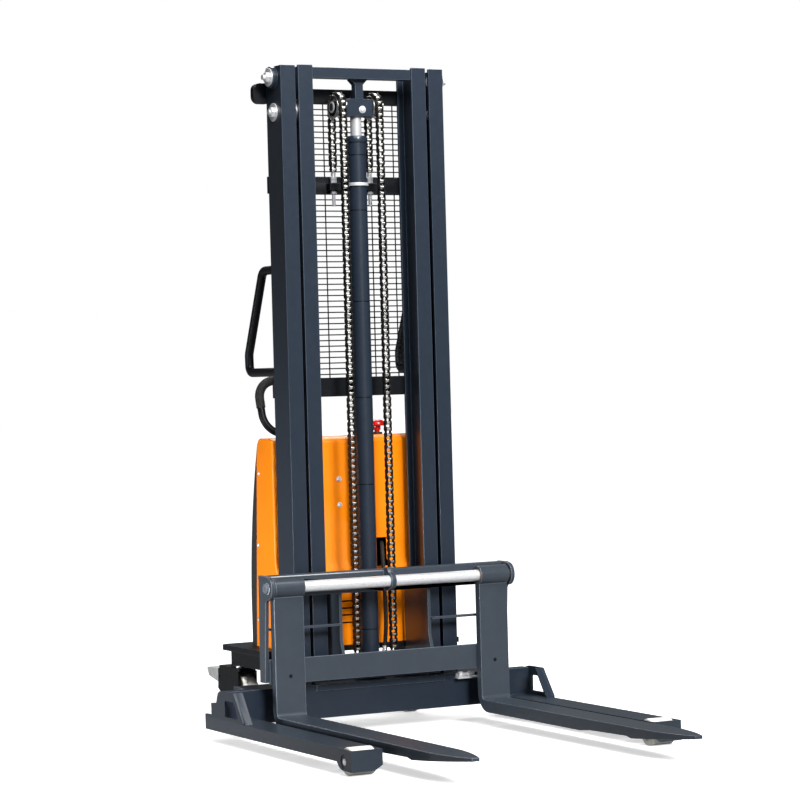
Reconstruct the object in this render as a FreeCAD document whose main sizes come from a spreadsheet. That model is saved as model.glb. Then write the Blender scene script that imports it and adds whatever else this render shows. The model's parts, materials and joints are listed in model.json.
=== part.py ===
"""Walkie stacker: duplex mast, straddle legs, shaft-hung forks and a rear power pack.

Frame: +Z up, forks point along -Y, +X to the right for someone at the fork tips who faces the
mast, origin on the floor under the middle of the machine. Millimetres.
"""
import FreeCAD, Part
import math
import operator
import os
import Sketcher

os.makedirs("parts", exist_ok=True)
doc = FreeCAD.newDocument("WalkieStacker")

# ---------------------------------------------------------------- driving dimensions
DIMENSIONS = {
    # mast
    "mast_front": 305, "mast_half": 284, "mast_height": 2080, "mast_depth": 109,
    "flange_width": 50, "flange_gap": 11, "channel_wall": 10, "inner_web_offset": 20,
    "mast_foot": 160, "inner_foot": 164, "inner_rise": 3,
    "roller_radius": 43.2, "roller_width": 27, "outer_roller_height": 1938,
    "top_bolt_height": 2046, "boss_radius": 33.5, "boss_height": 14,
    "inner_roller_height": 214, "stub_radius": 15, "run_gap": 0.05,
    "tie_thickness": 12, "low_tie_bottom": 1050, "low_tie_top": 1110,
    "mid_tie_bottom": 1690, "mid_tie_top": 1743, "top_tie_bottom": 1975, "top_tie_top": 2020,
    "tie_lug_reach": 43, "guard_wire": 4, "guard_pitch_tall": 17.8, "guard_pitch_wide": 82,
    # lift cylinder, yoke and chains
    "cylinder_line": 57, "tube_radius": 30, "tube_bore": 24, "tube_top": 1868,
    "rod_radius": 17.5, "rod_top": 1930, "yoke_top": 1983, "yoke_half": 46,
    "sheave_offset": 64, "sheave_height": 1958, "chain_pitch_radius": 40.5,
    "chain_width": 26, "chain_depth": 17, "sheave_width": 34, "sheave_axle_radius": 12.5,
    "hose_port_line": 52, "hose_port_height": 240, "hose_radius": 6.5,
    "chain_rear_end": 1757, "anchor_rod_end": 1650, "chain_front_end": 225,
    # base, legs and wheels
    "beam_bottom": 55, "beam_top": 160, "beam_rear": 120, "beam_end_rear": 30,
    "leg_outer": 543, "leg_width": 97,
    "leg_bottom": 37, "leg_top": 75, "leg_front": 890, "leg_rear": 121, "leg_wall": 6,
    "cheek_bottom": 15, "load_wheel_radius": 40, "load_wheel_width": 76,
    "load_wheel_line": 840, "load_axle_radius": 10, "axle_recess_radius": 20.5,
    "axle_recess_depth": 3, "cheek_lap": 3, "bracket_top": 165, "bracket_wall": 8,
    "stop_left": 262, "stop_right": 338, "stop_line": -28, "stop_floor": 144,
    # carriage and forks
    "plate_outer": 424, "plate_thick": 12, "shaft_line": 100, "shaft_height": 474,
    "shaft_radius": 17.5, "shaft_head_radius": 16, "nose_radius": 36, "bar_top": 512, "bar_bottom": 443,
    "lower_bar_top": 256, "lower_bar_bottom": 180, "roller_plate_line": 155,
    "carriage_roller_low": 250, "carriage_roller_high": 430,
    "fork_spacing": 357, "fork_width": 100, "fork_front": 112, "fork_thick": 28,
    "fork_top": 82, "fork_tip": 1265, "tip_thick": 10, "eye_radius": 30, "heel_radius": 62,
    "blade_thick": 38,
    "sleeve_wall": 3,
    # deck, casters and covers
    "deck_bottom": 245, "deck_top": 262, "deck_half": 350, "deck_rear": 436,
    "mount_bottom": 196, "king_pin_radius": 9, "crown_top": 187.7, "crown_bottom": 176,
    "pedal_pivot_back": 100, "pedal_pivot_height": 152, "pedal_pin_radius": 4,
    "tank_top": 452, "valve_top": 502,
    "caster_line": 294, "swivel_line": 400, "caster_wheel_radius": 82,
    "caster_wheel_width": 46, "caster_trail": 32, "caster_axle_radius": 8,
    "cover_half": 285, "cover_front": 134, "cover_step": 12, "cover_top": 925,
    "rear_cover_top": 915, "rear_foot_line": 326, "split_top": 249.6, "split_foot": 288.6,
    "cover_wall": 3, "ledge_low": 503, "ledge_high": 531, "estop_across": 127,
    "estop_line": 216,
    # tiller and handles
    "tiller_pivot_line": 368, "tiller_pivot_height": 310, "tiller_top_line": 642.5,
    "tiller_loop_bottom": 927, "tiller_loop_top": 1105, "tiller_loop_half": 98,
    "tiller_tube_radius": 12.5, "grip_radius": 15.5, "handle_radius": 14,
    "loop_low_bend": 72, "loop_high_bend": 62,
    "handle_high": 1452, "handle_low": 1132, "handle_reach": 322,
}


class Size:
    """A length that carries both its value and the sheet expression that drives it."""

    def __init__(self, value, text):
        self.value = value
        self.text = text

    def join(self, other, sign, swapped=False):
        value, text = (other.value, other.text) if isinstance(other, Size) else (other, repr(other))
        left, right = ((value, text), (self.value, self.text)) if swapped else \
            ((self.value, self.text), (value, text))
        result = OPERATIONS[sign](left[0], right[0])
        return Size(result, f"({left[1]} {sign} {right[1]})")

    def __add__(self, other):
        return self.join(other, "+")

    def __radd__(self, other):
        return self.join(other, "+", swapped=True)

    def __sub__(self, other):
        return self.join(other, "-")

    def __rsub__(self, other):
        return self.join(other, "-", swapped=True)

    def __mul__(self, other):
        return self.join(other, "*")

    def __rmul__(self, other):
        return self.join(other, "*", swapped=True)

    def __truediv__(self, other):
        return self.join(other, "/")

    def __neg__(self):
        return self.join(-1, "*")

    def __float__(self):
        return float(self.value)


OPERATIONS = {"+": operator.add, "-": operator.sub, "*": operator.mul, "/": operator.truediv}

sheet = doc.addObject("Spreadsheet::Sheet", "Sizes")
for line, (alias, number) in enumerate(DIMENSIONS.items(), start=1):
    sheet.set(f"A{line}", alias)
    sheet.set(f"B{line}", str(number))
    sheet.setAlias(f"B{line}", alias)
doc.recompute()


class Dimensions:
    """The sheet's cells by name, each as a Size."""

    def __getattr__(self, alias):
        return Size(sheet.get(alias), f"Sizes.{alias}")


d = Dimensions()
SIDES = {"left": -1, "right": 1}
nodes = []


# ---------------------------------------------------------------- building helpers
def bind(target, name, size):
    """Drive one property by its sheet expression; a plain number is just set."""
    if isinstance(size, Size):
        target.setExpression(name, size.text)
    elif name.startswith("."):
        target.setExpression(name, repr(size))
    else:
        setattr(target, name, size)


def put(target, x, y, z):
    for axis, size in zip("xyz", (x, y, z)):
        bind(target, f".Placement.Base.{axis}", size)


def span(first, second):
    """Two ends of a length, lowest first."""
    return (first, second) if float(first) < float(second) else (second, first)


def depth(size):
    """A distance behind the mast's front face, as a Y position."""
    return d.mast_front + size


def box(name, x, y, z):
    block = doc.addObject("Part::Box", name)
    for prop, (low, high) in zip(("Length", "Width", "Height"), (x, y, z)):
        bind(block, prop, high - low)
    put(block, x[0], y[0], z[0])
    return block


TURNS = {"x": FreeCAD.Rotation(FreeCAD.Vector(0, 1, 0), 90),
         "y": FreeCAD.Rotation(FreeCAD.Vector(1, 0, 0), -90),
         "z": FreeCAD.Rotation()}


def rod(name, axis, radius, x, y, z):
    """A round bar along one axis; the span of that axis is given as its (low, high) pair."""
    bar = doc.addObject("Part::Cylinder", name)
    bind(bar, "Radius", radius)
    place = {"x": x, "y": y, "z": z}
    low, high = place[axis]
    bind(bar, "Height", high - low)
    place[axis] = low
    bar.Placement = FreeCAD.Placement(FreeCAD.Vector(), TURNS[axis])
    put(bar, place["x"], place["y"], place["z"])
    return bar


def fuse(name, pieces):
    joined = doc.addObject("Part::MultiFuse", name)
    joined.Shapes = pieces
    return joined


def cut(name, base, *tools):
    for count, tool in enumerate(tools):
        carved = doc.addObject("Part::Cut", name if count == len(tools) - 1 else "carved")
        carved.Base, carved.Tool = base, tool
        base = carved
    return base


def group(name, pieces):
    """Identical separate pieces that share one node."""
    gathered = doc.addObject("Part::Compound", name)
    gathered.Links = pieces
    return gathered


def node(piece):
    nodes.append(piece)
    return piece


def close_outline(sketch, corners):
    """Lines, or arcs for four-number corners (via point, end point), pinned to the sheet."""
    vector = [FreeCAD.Vector(float(c[-2]), float(c[-1]), 0) for c in corners]
    ends = []
    pins = []
    for here, corner in enumerate(corners):
        start, stop = vector[here - 1], vector[here]
        if len(corner) == 4:
            via = FreeCAD.Vector(float(corner[0]), float(corner[1]), 0)
            index = sketch.addGeometry(Part.Arc(start, via, stop))
            pins.append((index, 3, sketch.getPoint(index, 3), stop - start))
        else:
            index = sketch.addGeometry(Part.LineSegment(start, stop))
        forward = sketch.getPoint(index, 1).isEqual(start, 1e-4)
        ends.append((index, 1, 2) if forward else (index, 2, 1))
    for here, (index, _, tail) in enumerate(ends):
        following, head, _ = ends[(here + 1) % len(ends)]
        sketch.addConstraint(Sketcher.Constraint("Coincident", index, tail, following, head))
    for (index, _, tail), corner in zip(ends, corners):
        for kind, size in zip(("DistanceX", "DistanceY"), corner[-2:]):
            pinned = sketch.addConstraint(Sketcher.Constraint(kind, index, tail, float(size)))
            bind_text = size.text if isinstance(size, Size) else repr(size)
            sketch.setExpression(f"Constraints[{pinned}]", bind_text)
    for index, spot, centre, chord in pins:
        if abs(chord.x) > abs(chord.y):
            sketch.addConstraint(Sketcher.Constraint("DistanceY", index, spot, centre.y))
        else:
            sketch.addConstraint(Sketcher.Constraint("DistanceX", index, spot, centre.x))


def new_sketch(body, plane):
    planes = {feature.Role: feature for feature in body.Origin.OriginFeatures}
    sketch = body.newObject("Sketcher::SketchObject", f"{body.Name}_outline")
    sketch.AttachmentSupport = (planes[f"{plane}_Plane"], [""])
    sketch.MapMode = "FlatFace"
    return sketch


def prism(name, plane, corners, reach, rounds=()):
    """A padded outline on a plane, from reach[0] to reach[1] along the plane's axis.

    rounds lists (radius, corner numbers): the edges at those corners are filleted.
    """
    body = doc.addObject("PartDesign::Body", name)
    sketch = new_sketch(body, plane)
    close_outline(sketch, corners)
    start = -reach[1] if plane == "XZ" else reach[0]
    bind(sketch, ".AttachmentOffset.Base.z", start)
    pad = body.newObject("PartDesign::Pad", f"{name}_pad")
    pad.Profile = sketch
    bind(pad, "Length", reach[1] - reach[0])
    if rounds:
        doc.recompute()
    along = {"XY": (0, 1), "XZ": (0, 2), "YZ": (1, 2)}[plane]
    axis = ({0, 1, 2} - set(along)).pop()
    for radius, numbers in rounds:
        wanted = [tuple(float(v) for v in corners[number][-2:]) for number in numbers]
        names = []
        for count, edge in enumerate(body.Tip.Shape.Edges, start=1):
            middle = edge.CenterOfMass
            flat = (middle[along[0]], middle[along[1]])
            heading = abs(edge.tangentAt(edge.FirstParameter)[axis])
            straight = edge.Length * (1 - heading) < 1e-3
            if straight and any(math.dist(flat, spot) < 0.01 for spot in wanted):
                names.append(f"Edge{count}")
        fillet = body.newObject("PartDesign::Fillet", f"{name}_round")
        fillet.Base = (body.Tip if fillet != body.Tip else pad, names)
        bind(fillet, "Radius", radius)
        body.Tip = fillet
        doc.recompute()
    body.Tip = body.Group[-1]
    return body


def turned(name, outline, axis, x, y, z):
    """A turned part: (along, radius) outline revolved about its own axis, set at a place."""
    body = doc.addObject("PartDesign::Body", name)
    sketch = new_sketch(body, "XY")
    close_outline(sketch, outline)
    turn = body.newObject("PartDesign::Revolution", f"{name}_turning")
    turn.Profile = sketch
    turn.ReferenceAxis = (sketch, ["H_Axis"])
    turn.Angle = 360
    quarter = FreeCAD.Rotation(FreeCAD.Vector(0, 1, 0), -90) if axis == "z" else FreeCAD.Rotation()
    body.Placement = FreeCAD.Placement(FreeCAD.Vector(), quarter)
    put(body, x, y, z)
    return body


def ring_outline(half, outer, inner, bevel):
    return [(-half, inner), (half, inner), (half, outer - bevel), (half - bevel, outer),
            (bevel - half, outer), (-half, outer - bevel)]


def bent_path(points, bend):
    """Straight runs joined by tangent arcs of one radius (or one per inner point)."""
    vectors = [FreeCAD.Vector(*(float(v) for v in point)) for point in points]
    edges = []
    last = vectors[0]
    for here in range(1, len(vectors) - 1):
        radius = bend[here - 1] if isinstance(bend, list) else float(bend)
        before = (vectors[here - 1] - vectors[here]).normalize()
        after = (vectors[here + 1] - vectors[here]).normalize()
        half = before.getAngle(after) / 2
        inset = radius / math.tan(half)
        start = vectors[here] + before * inset
        stop = vectors[here] + after * inset
        bisector = (before + after).normalize()
        crown = vectors[here] + bisector * (radius / math.sin(half) - radius)
        edges.append(Part.LineSegment(last, start).toShape())
        edges.append(Part.Arc(start, crown, stop).toShape())
        last = stop
    edges.append(Part.LineSegment(last, vectors[-1]).toShape())
    return Part.Wire(edges)


def bent_tube(name, points, bend, radius):
    """A solid round tube along a bent path, with sizes read from the sheet."""
    path = bent_path(points, bend)
    first = path.Edges[0]
    ring = Part.Wire(Part.makeCircle(float(radius), first.valueAt(first.FirstParameter),
                                     first.tangentAt(first.FirstParameter)))
    tube = doc.addObject("Part::Feature", name)
    tube.Shape = path.makePipeShell([ring], True, False)
    expected = math.pi * float(radius) ** 2 * path.Length
    if abs(tube.Shape.Volume - expected) > 0.01 * expected:
        raise ValueError(f"{name}: bent tube has the wrong volume")
    return tube


# ---------------------------------------------------------------- base, legs, load wheels
def base_beam():
    """Hollow cross beam that carries the mast, with a stiffener strip across its face."""
    gap = 0.5
    inner = d.leg_outer - d.leg_width - gap
    outer = d.leg_outer - d.bracket_wall
    wall = 8
    front, rear, end_rear = depth(-14), depth(d.beam_rear), depth(d.beam_end_rear)
    middle = box("beam_middle", (-inner, inner), (front, rear), (d.beam_bottom, d.beam_top))
    ends = box("beam_ends", (-outer, outer), (front, end_rear), (d.leg_top, d.beam_top))
    inside = (d.leg_top + wall, d.beam_top - wall)
    hollow = box("beam_hollow", (wall - inner, inner - wall), (front + wall, rear - wall), inside)
    end_hollow = box("beam_end_hollow", (-outer, outer), (front + wall, end_rear - wall), inside)
    strip = box("beam_strip", (-225, 225), (front - 6, front), (d.beam_top - 20, d.beam_top))
    node(cut("base_beam", fuse("beam_solid", [middle, ends, strip]), hollow, end_hollow))


def straddle_leg(side, sign):
    """Inverted channel with drop cheeks, an end plate and a window over the load wheel.

    Each cheek is bored for the wheel's axle, whose outer end sits in a shallow round recess.
    """
    outer, inner = sign * d.leg_outer, sign * (d.leg_outer - d.leg_width)
    web_out = sign * (d.leg_outer - d.leg_wall)
    web_in = sign * (d.leg_outer - d.leg_width + d.leg_wall)
    front, rear = depth(-d.leg_front), depth(d.leg_rear)
    channel = box("leg_channel", span(inner, outer), (front, rear), (d.leg_bottom, d.leg_top))
    hollow = box("leg_hollow", span(web_in, web_out), (front + d.leg_wall, rear - d.leg_wall),
                 (d.leg_bottom - 1, d.leg_top - d.leg_wall))
    window_half = 41
    centre = sign * (d.leg_outer - d.leg_width / 2)
    axle_line = depth(-d.load_wheel_line)
    window = box("leg_window", (centre - window_half, centre + window_half),
                 (axle_line - d.load_wheel_radius - 3, axle_line + d.load_wheel_radius + 4),
                 (d.leg_bottom, d.leg_top + 1))
    lap = d.leg_bottom + d.cheek_lap
    inner_cheek_bottom = 2 * d.cheek_bottom
    solid = [cut("leg_shell", channel, hollow, window)]
    for face, other, bottom in ((outer, web_out, d.cheek_bottom),
                                (inner, web_in, inner_cheek_bottom)):
        solid.append(prism("leg_cheek", "YZ", [
            (axle_line + 46, lap), (axle_line + 30, bottom + (lap - bottom) * 0.3,
                                    axle_line + 4, bottom), (front, bottom), (front, lap)],
            span(face, other)))
    solid.append(prism("leg_end_plate", "XZ", [
        (outer, d.cheek_bottom), (outer, lap), (inner, lap), (inner, inner_cheek_bottom),
        (inner + sign * 25, d.cheek_bottom)], (front, front + d.leg_wall)))
    bore = rod("leg_axle_bore", "x", d.load_axle_radius + d.run_gap,
               span(inner - sign * 5, outer + sign * 5), axle_line, d.load_wheel_radius)
    recess = rod("axle_recess", "x", d.axle_recess_radius,
                 span(outer - sign * d.axle_recess_depth, outer + sign * 5), axle_line,
                 d.load_wheel_radius)
    node(cut(f"straddle_leg_{side}", fuse("leg_solid", solid), bore, recess))


def load_axle(sign):
    """Axle of one load wheel, just under the leg's outer face and just past its inner one."""
    inner_end = sign * (d.leg_outer - d.leg_width - 2)
    outer_end = sign * (d.leg_outer - 1)
    return rod("load_axle", "x", d.load_axle_radius, span(inner_end, outer_end),
               depth(-d.load_wheel_line), d.load_wheel_radius)


def load_wheel(side, sign):
    half = d.load_wheel_width / 2
    tyre = ring_outline(half, d.load_wheel_radius, d.load_axle_radius + d.run_gap, 4)
    node(turned(f"load_wheel_{side}", tyre, "x", sign * (d.leg_outer - d.leg_width / 2),
                depth(-d.load_wheel_line), d.load_wheel_radius))


def leg_bracket(sign):
    """Stepped side plate with a window, and the sloping strip down its front edge."""
    outer = sign * d.leg_outer
    inner = sign * (d.leg_outer - d.bracket_wall)
    top, floor = d.bracket_top, d.leg_top
    plate = prism("bracket_plate", "YZ", [
        (depth(121), floor), (depth(121), floor + 9), (depth(74), floor + 9), (depth(74), floor + 46),
        (depth(35), floor + 50), (depth(21), floor + 82), (depth(-10), top), (depth(-97), top),
        (depth(-162), floor + 6), (depth(-162), floor)], span(inner, outer),
        rounds=[(14, [6])])
    window = prism("bracket_window", "YZ", [
        (depth(-28), floor + 12), (depth(-28), floor + 62), (depth(-98), floor + 62),
        (depth(-128), floor + 12)], span(inner - sign * 5, outer + sign * 5), rounds=[(8, [1, 2])])
    strip = prism("bracket_strip", "YZ", [
        (depth(-89), top), (depth(-97), top), (depth(-166), floor), (depth(-156), floor)],
        span(sign * (d.leg_outer - 30), inner))
    return fuse("leg_bracket", [cut("bracket_pierced", plate, window), strip])


def carriage_stop():
    """Zinc angle under the carriage with its adjusting bolt and lock nut."""
    line, left = depth(d.stop_line), d.stop_left
    bolt_height = d.stop_floor + 13.5
    ledge = box("stop_ledge", (left, d.stop_right), (line - 12, line + 14),
                (d.stop_floor, d.stop_floor + 5))
    shank = rod("stop_shank", "x", 5, (left + 10, left + 56), line, bolt_height)
    head = rod("stop_head", "x", 9, (left + 6, left + 26), line, bolt_height)
    nut = rod("stop_nut", "x", 9, (left + 42, left + 49), line, bolt_height)
    node(fuse("carriage_stop", [ledge, shank, head, nut]))


# ---------------------------------------------------------------- mast
def outer_upright(sign):
    """Outer C channel, open towards the machine's middle, with a boss for the top bolt."""
    edge, lip = sign * d.mast_half, sign * (d.mast_half - d.flange_width)
    web = sign * (d.mast_half - d.channel_wall)
    front, rear = d.mast_front, depth(d.mast_depth)
    wall = d.channel_wall
    channel = prism("outer_channel", "XY", [
        (edge, front), (edge, rear), (lip, rear), (lip, rear - wall), (web, rear - wall),
        (web, front + wall), (lip, front + wall), (lip, front)], (d.mast_foot, d.mast_height))
    centre = depth(d.mast_depth / 2)
    boss_end = edge + sign * d.boss_height
    boss = rod("bolt_boss", "x", d.boss_radius, span(web + sign, boss_end), centre,
               d.top_bolt_height)
    bores = [rod("axle_bore", "x", d.stub_radius, span(web - sign, boss_end + sign), centre, height)
             for height in (d.outer_roller_height, d.top_bolt_height)]
    return cut("outer_upright", fuse("bossed_channel", [channel, boss]), *bores)


def inner_flange_edge():
    return d.mast_half - d.flange_width - d.flange_gap


def inner_upright(sign):
    """Inner I section: its outer channel takes the outer rollers, its inner one the carriage."""
    edge = sign * inner_flange_edge()
    lip = sign * (inner_flange_edge() - d.flange_width)
    web_out = sign * (inner_flange_edge() - d.inner_web_offset)
    web_in = sign * (inner_flange_edge() - d.inner_web_offset - d.channel_wall)
    front, rear = depth(1), depth(d.mast_depth - 1)
    wall = d.channel_wall
    section = prism("inner_section", "XY", [
        (edge, front), (edge, front + wall), (web_out, front + wall), (web_out, rear - wall),
        (edge, rear - wall), (edge, rear), (lip, rear), (lip, rear - wall), (web_in, rear - wall),
        (web_in, front + wall), (lip, front + wall), (lip, front)],
        (d.inner_foot, d.mast_height + d.inner_rise))
    stub = rod("inner_stub", "x", d.stub_radius, span(web_out, sign * (d.mast_half - 18)),
               depth(d.mast_depth / 2), d.inner_roller_height)
    return fuse("inner_upright", [section, stub])


def mast_roller(name, sign, near, height, radius):
    """A mast roller, given by the |x| of its face nearest the middle."""
    half = d.roller_width / 2
    return turned(name, ring_outline(half, radius, d.stub_radius + d.run_gap, 3), "x",
                  sign * (near + half), depth(d.mast_depth / 2), height)


def roller_axle_bolt(sign, height, inner_end, seat, stud_end):
    """Bolt with a zinc washer and a nut on its seat, and the stud's end standing out of it."""
    centre = depth(d.mast_depth / 2)
    washer_radius, nut_radius, stud_radius = 29, 17, 9
    shank = rod("axle_shank", "x", d.stub_radius - 0.02,
                span(sign * inner_end, sign * (seat + 8)), centre, height)
    washer = rod("axle_washer", "x", washer_radius, span(sign * (seat + 0.2), sign * (seat + 5)),
                 centre, height)
    nut = rod("axle_nut", "x", nut_radius, span(sign * (seat + 4), sign * (seat + 15)), centre,
              height)
    stud = rod("axle_stud", "x", stud_radius, span(sign * (seat + 14), sign * stud_end), centre,
               height)
    return fuse("axle_bolt", [shank, washer, nut, stud])


def outer_ties():
    """Three cross ties behind the uprights; the top one ends in round lugs."""
    back = depth(d.mast_depth)
    reach = (back, back + d.tie_thickness)
    half = d.mast_half
    pieces = [box("low_tie", (-half, half), reach, (d.low_tie_bottom, d.low_tie_top))]
    middle = box("mid_tie", (-half, half), reach, (d.mid_tie_bottom, d.mid_tie_top))
    shelves = []
    holes = []
    for sign in SIDES.values():
        x = sign * d.sheave_offset
        shelves.append(box("anchor_shelf", (x - 20, x + 20), (back - 28, back), (1700, 1722)))
        holes.append(rod("anchor_hole", "z", 6.3, x, depth(chain_rear_line()), (1690, 1730)))
    pieces.append(cut("mid_tie_drilled", fuse("mid_tie_shelves", [middle, *shelves]), *holes))
    top = box("top_tie", (-half, half), reach, (d.top_tie_bottom, d.top_tie_top))
    lugs = []
    for sign in SIDES.values():
        edge, tip = sign * (half - 4), sign * (half + d.tie_lug_reach)
        low, high = d.top_tie_bottom - 5, d.top_tie_top + 14
        lugs.append(prism("top_lug", "XZ", [(edge, low), (tip, low), (tip, high), (edge, high)],
                          (back, back + 24), rounds=[(22, [1, 2])]))
    pieces.append(fuse("top_tie_lugged", [top, *lugs]))
    node(group("outer_ties", pieces))


def mesh_guard():
    """Welded wire screen on the ties' rear faces."""
    wire = d.guard_wire
    back = depth(d.mast_depth + d.tie_thickness)
    low, high = d.low_tie_bottom + 15, d.top_tie_bottom + 20
    reach = 254
    wires = []
    rows = int((float(high) - float(low)) / float(d.guard_pitch_tall))
    for row in range(rows + 1):
        z = low + row * d.guard_pitch_tall
        wires.append(box("row_wire", (-reach, reach), (back + 1, back + 1 + wire), (z, z + wire)))
    columns = 6
    for column in range(columns + 1):
        x = (column - columns / 2) * d.guard_pitch_wide
        wires.append(box("column_wire", (x - wire / 2, x + wire / 2), (back, back + wire),
                         (low, high)))
    node(fuse("mesh_guard", wires))


# ---------------------------------------------------------------- lift cylinder and chains
def chain_rear_line():
    return d.cylinder_line + d.chain_pitch_radius


def chain_front_line():
    return d.cylinder_line - d.chain_pitch_radius


def lift_cylinder():
    line = depth(d.cylinder_line)
    foot_half = 38
    foot = box("cylinder_foot", (-foot_half, foot_half), (line - 31, line + 32),
               (d.mast_foot, d.mast_foot + 35))
    barrel = rod("cylinder_barrel", "z", d.tube_radius, 0, line, (d.mast_foot, d.tube_top))
    gland = rod("cylinder_gland", "z", d.tube_radius + 3, 0, line, (d.tube_top - 20, d.tube_top))
    bore = rod("cylinder_bore", "z", d.tube_bore, 0, line, (200, d.tube_top - 30))
    neck = rod("gland_bore", "z", d.rod_radius + d.run_gap, 0, line, (1800, d.tube_top + 1))
    port_top = d.hose_port_height
    port = rod("hose_port", "x", 7, (d.tube_radius - 4, d.hose_port_line), line, port_top - 13)
    elbow = rod("hose_elbow", "z", 9, d.hose_port_line, line, (port_top - 22, port_top))
    solid = fuse("cylinder_solid", [foot, barrel, gland, port, elbow])
    node(cut("lift_cylinder", solid, bore, neck))
    band = cut("clamp_band", rod("clamp_ring", "z", d.tube_radius + 5, 0, line, (1711, 1721)),
               rod("clamp_bore", "z", d.tube_radius, 0, line, (1700, 1730)))
    tail = box("clamp_tail", (-12, 12), (line + d.tube_radius + 2, depth(d.mast_depth)),
               (1711, 1721))
    node(fuse("cylinder_clamp", [band, tail]))


def piston_rod():
    line = depth(d.cylinder_line)
    shaft = rod("rod_shaft", "z", d.rod_radius, 0, line, (210, d.rod_top))
    piston = rod("rod_piston", "z", d.tube_bore - d.run_gap, 0, line, (205, 245))
    node(fuse("piston_rod", [shaft, piston]))


def rod_yoke():
    """Block on the piston rod with the fixed axle of both chain sheaves."""
    line = depth(d.cylinder_line)
    block = box("yoke_block", (-d.yoke_half, d.yoke_half), (line - 29, line + 29),
                (d.rod_top, d.yoke_top))
    end = d.sheave_offset + d.sheave_width / 2 + 4
    axle = rod("sheave_axle", "x", d.sheave_axle_radius, (-end, end), line, d.sheave_height)
    node(fuse("rod_yoke", [block, axle]))


def inner_cross_members():
    """Top beam with the stem down to the yoke, and the tie across the inner mast's foot."""
    edge = inner_flange_edge() - d.flange_width
    beam_low = d.mast_height - 36
    stem_half = 14
    beam = box("top_beam", (-edge, edge), (depth(6), depth(46)), (beam_low, beam_low + 33))
    stem = prism("top_stem", "XZ", [
        (-stem_half, d.yoke_top), (stem_half, d.yoke_top), (stem_half, beam_low - 16),
        (stem_half + 16, beam_low), (-stem_half - 16, beam_low), (-stem_half, beam_low - 16)],
        (depth(26), depth(54)))
    foot_tie = box("foot_tie", (-edge, edge), (depth(4), depth(22)),
                   (d.inner_foot, d.inner_foot + 20))
    node(group("inner_cross_members", [fuse("top_beam_stem", [beam, stem]), foot_tie]))


def chain_sheave(side, sign):
    half = d.sheave_width / 2
    groove = d.chain_width / 2 + 0.5
    root, flange, bore = 31, 38.5, d.sheave_axle_radius + d.run_gap
    node(turned(f"chain_sheave_{side}", [
        (-half, bore), (half, bore), (half, flange), (groove, flange), (groove, root),
        (-groove, root), (-groove, flange), (-half, flange)], "x",
        sign * d.sheave_offset, depth(d.cylinder_line), d.sheave_height))


def chain_runs():
    """Each chain as a plain bar: the run with its half turn over the sheave, and the front run."""
    half, thick = d.chain_width / 2, d.chain_depth / 2
    turn_in, turn_out = d.chain_pitch_radius - thick, d.chain_pitch_radius + thick
    line, height = depth(d.cylinder_line), d.sheave_height
    rear_line, front_line = depth(chain_rear_line()), depth(chain_front_line())
    rear, front = [], []
    for sign in SIDES.values():
        x = (sign * d.sheave_offset - half, sign * d.sheave_offset + half)
        run = box("rear_run", x, (rear_line - thick, rear_line + thick),
                  (d.chain_rear_end, height))
        arch = cut("chain_arch", rod("arch_out", "x", turn_out, x, line, height),
                   rod("arch_in", "x", turn_in, x, line, height),
                   box("arch_floor", x, (line - turn_out, line + turn_out),
                       (height - turn_out, height)))
        rear.append(fuse("chain_with_arch", [run, arch]))
        front.append(box("front_run", x, (front_line - thick, front_line + thick),
                         (d.chain_front_end, height - 0.3)))
    node(group("chain_rear_runs", rear))
    node(group("chain_front_runs", front))


def chain_anchor_rods():
    rods = []
    for sign in SIDES.values():
        x, y = sign * d.sheave_offset, depth(chain_rear_line())
        shank = rod("anchor_shank", "z", 6, x, y, (d.anchor_rod_end, d.chain_rear_end - 0.3))
        nuts = [rod("anchor_nut", "z", 10, x, y, (low, low + 9)) for low in (1689, 1724, 1745)]
        rods.append(fuse("anchor_rod", [shank, *nuts]))
    node(group("chain_anchor_rods", rods))


# ---------------------------------------------------------------- carriage and forks
def carriage_end_plate(sign):
    """Side plate with a round nose around the fork shaft."""
    line, height, nose = depth(-d.shaft_line), d.shaft_height, d.nose_radius
    foot = d.lower_bar_bottom + 4
    plate = prism("end_plate", "YZ", [
        (depth(-40), d.bar_top), (depth(-32), foot), (depth(-70), foot),
        (line + 12, height - 44), (line + 4, height - nose + 0.3),
        (line - nose, height, line, height + nose), (line + 6, d.bar_top)],
        span(sign * (d.plate_outer - d.plate_thick), sign * d.plate_outer))
    bore = rod("end_plate_bore", "x", d.shaft_radius, span(sign * 400, sign * 440), line, height)
    return cut("end_plate_bored", plate, bore)


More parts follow.
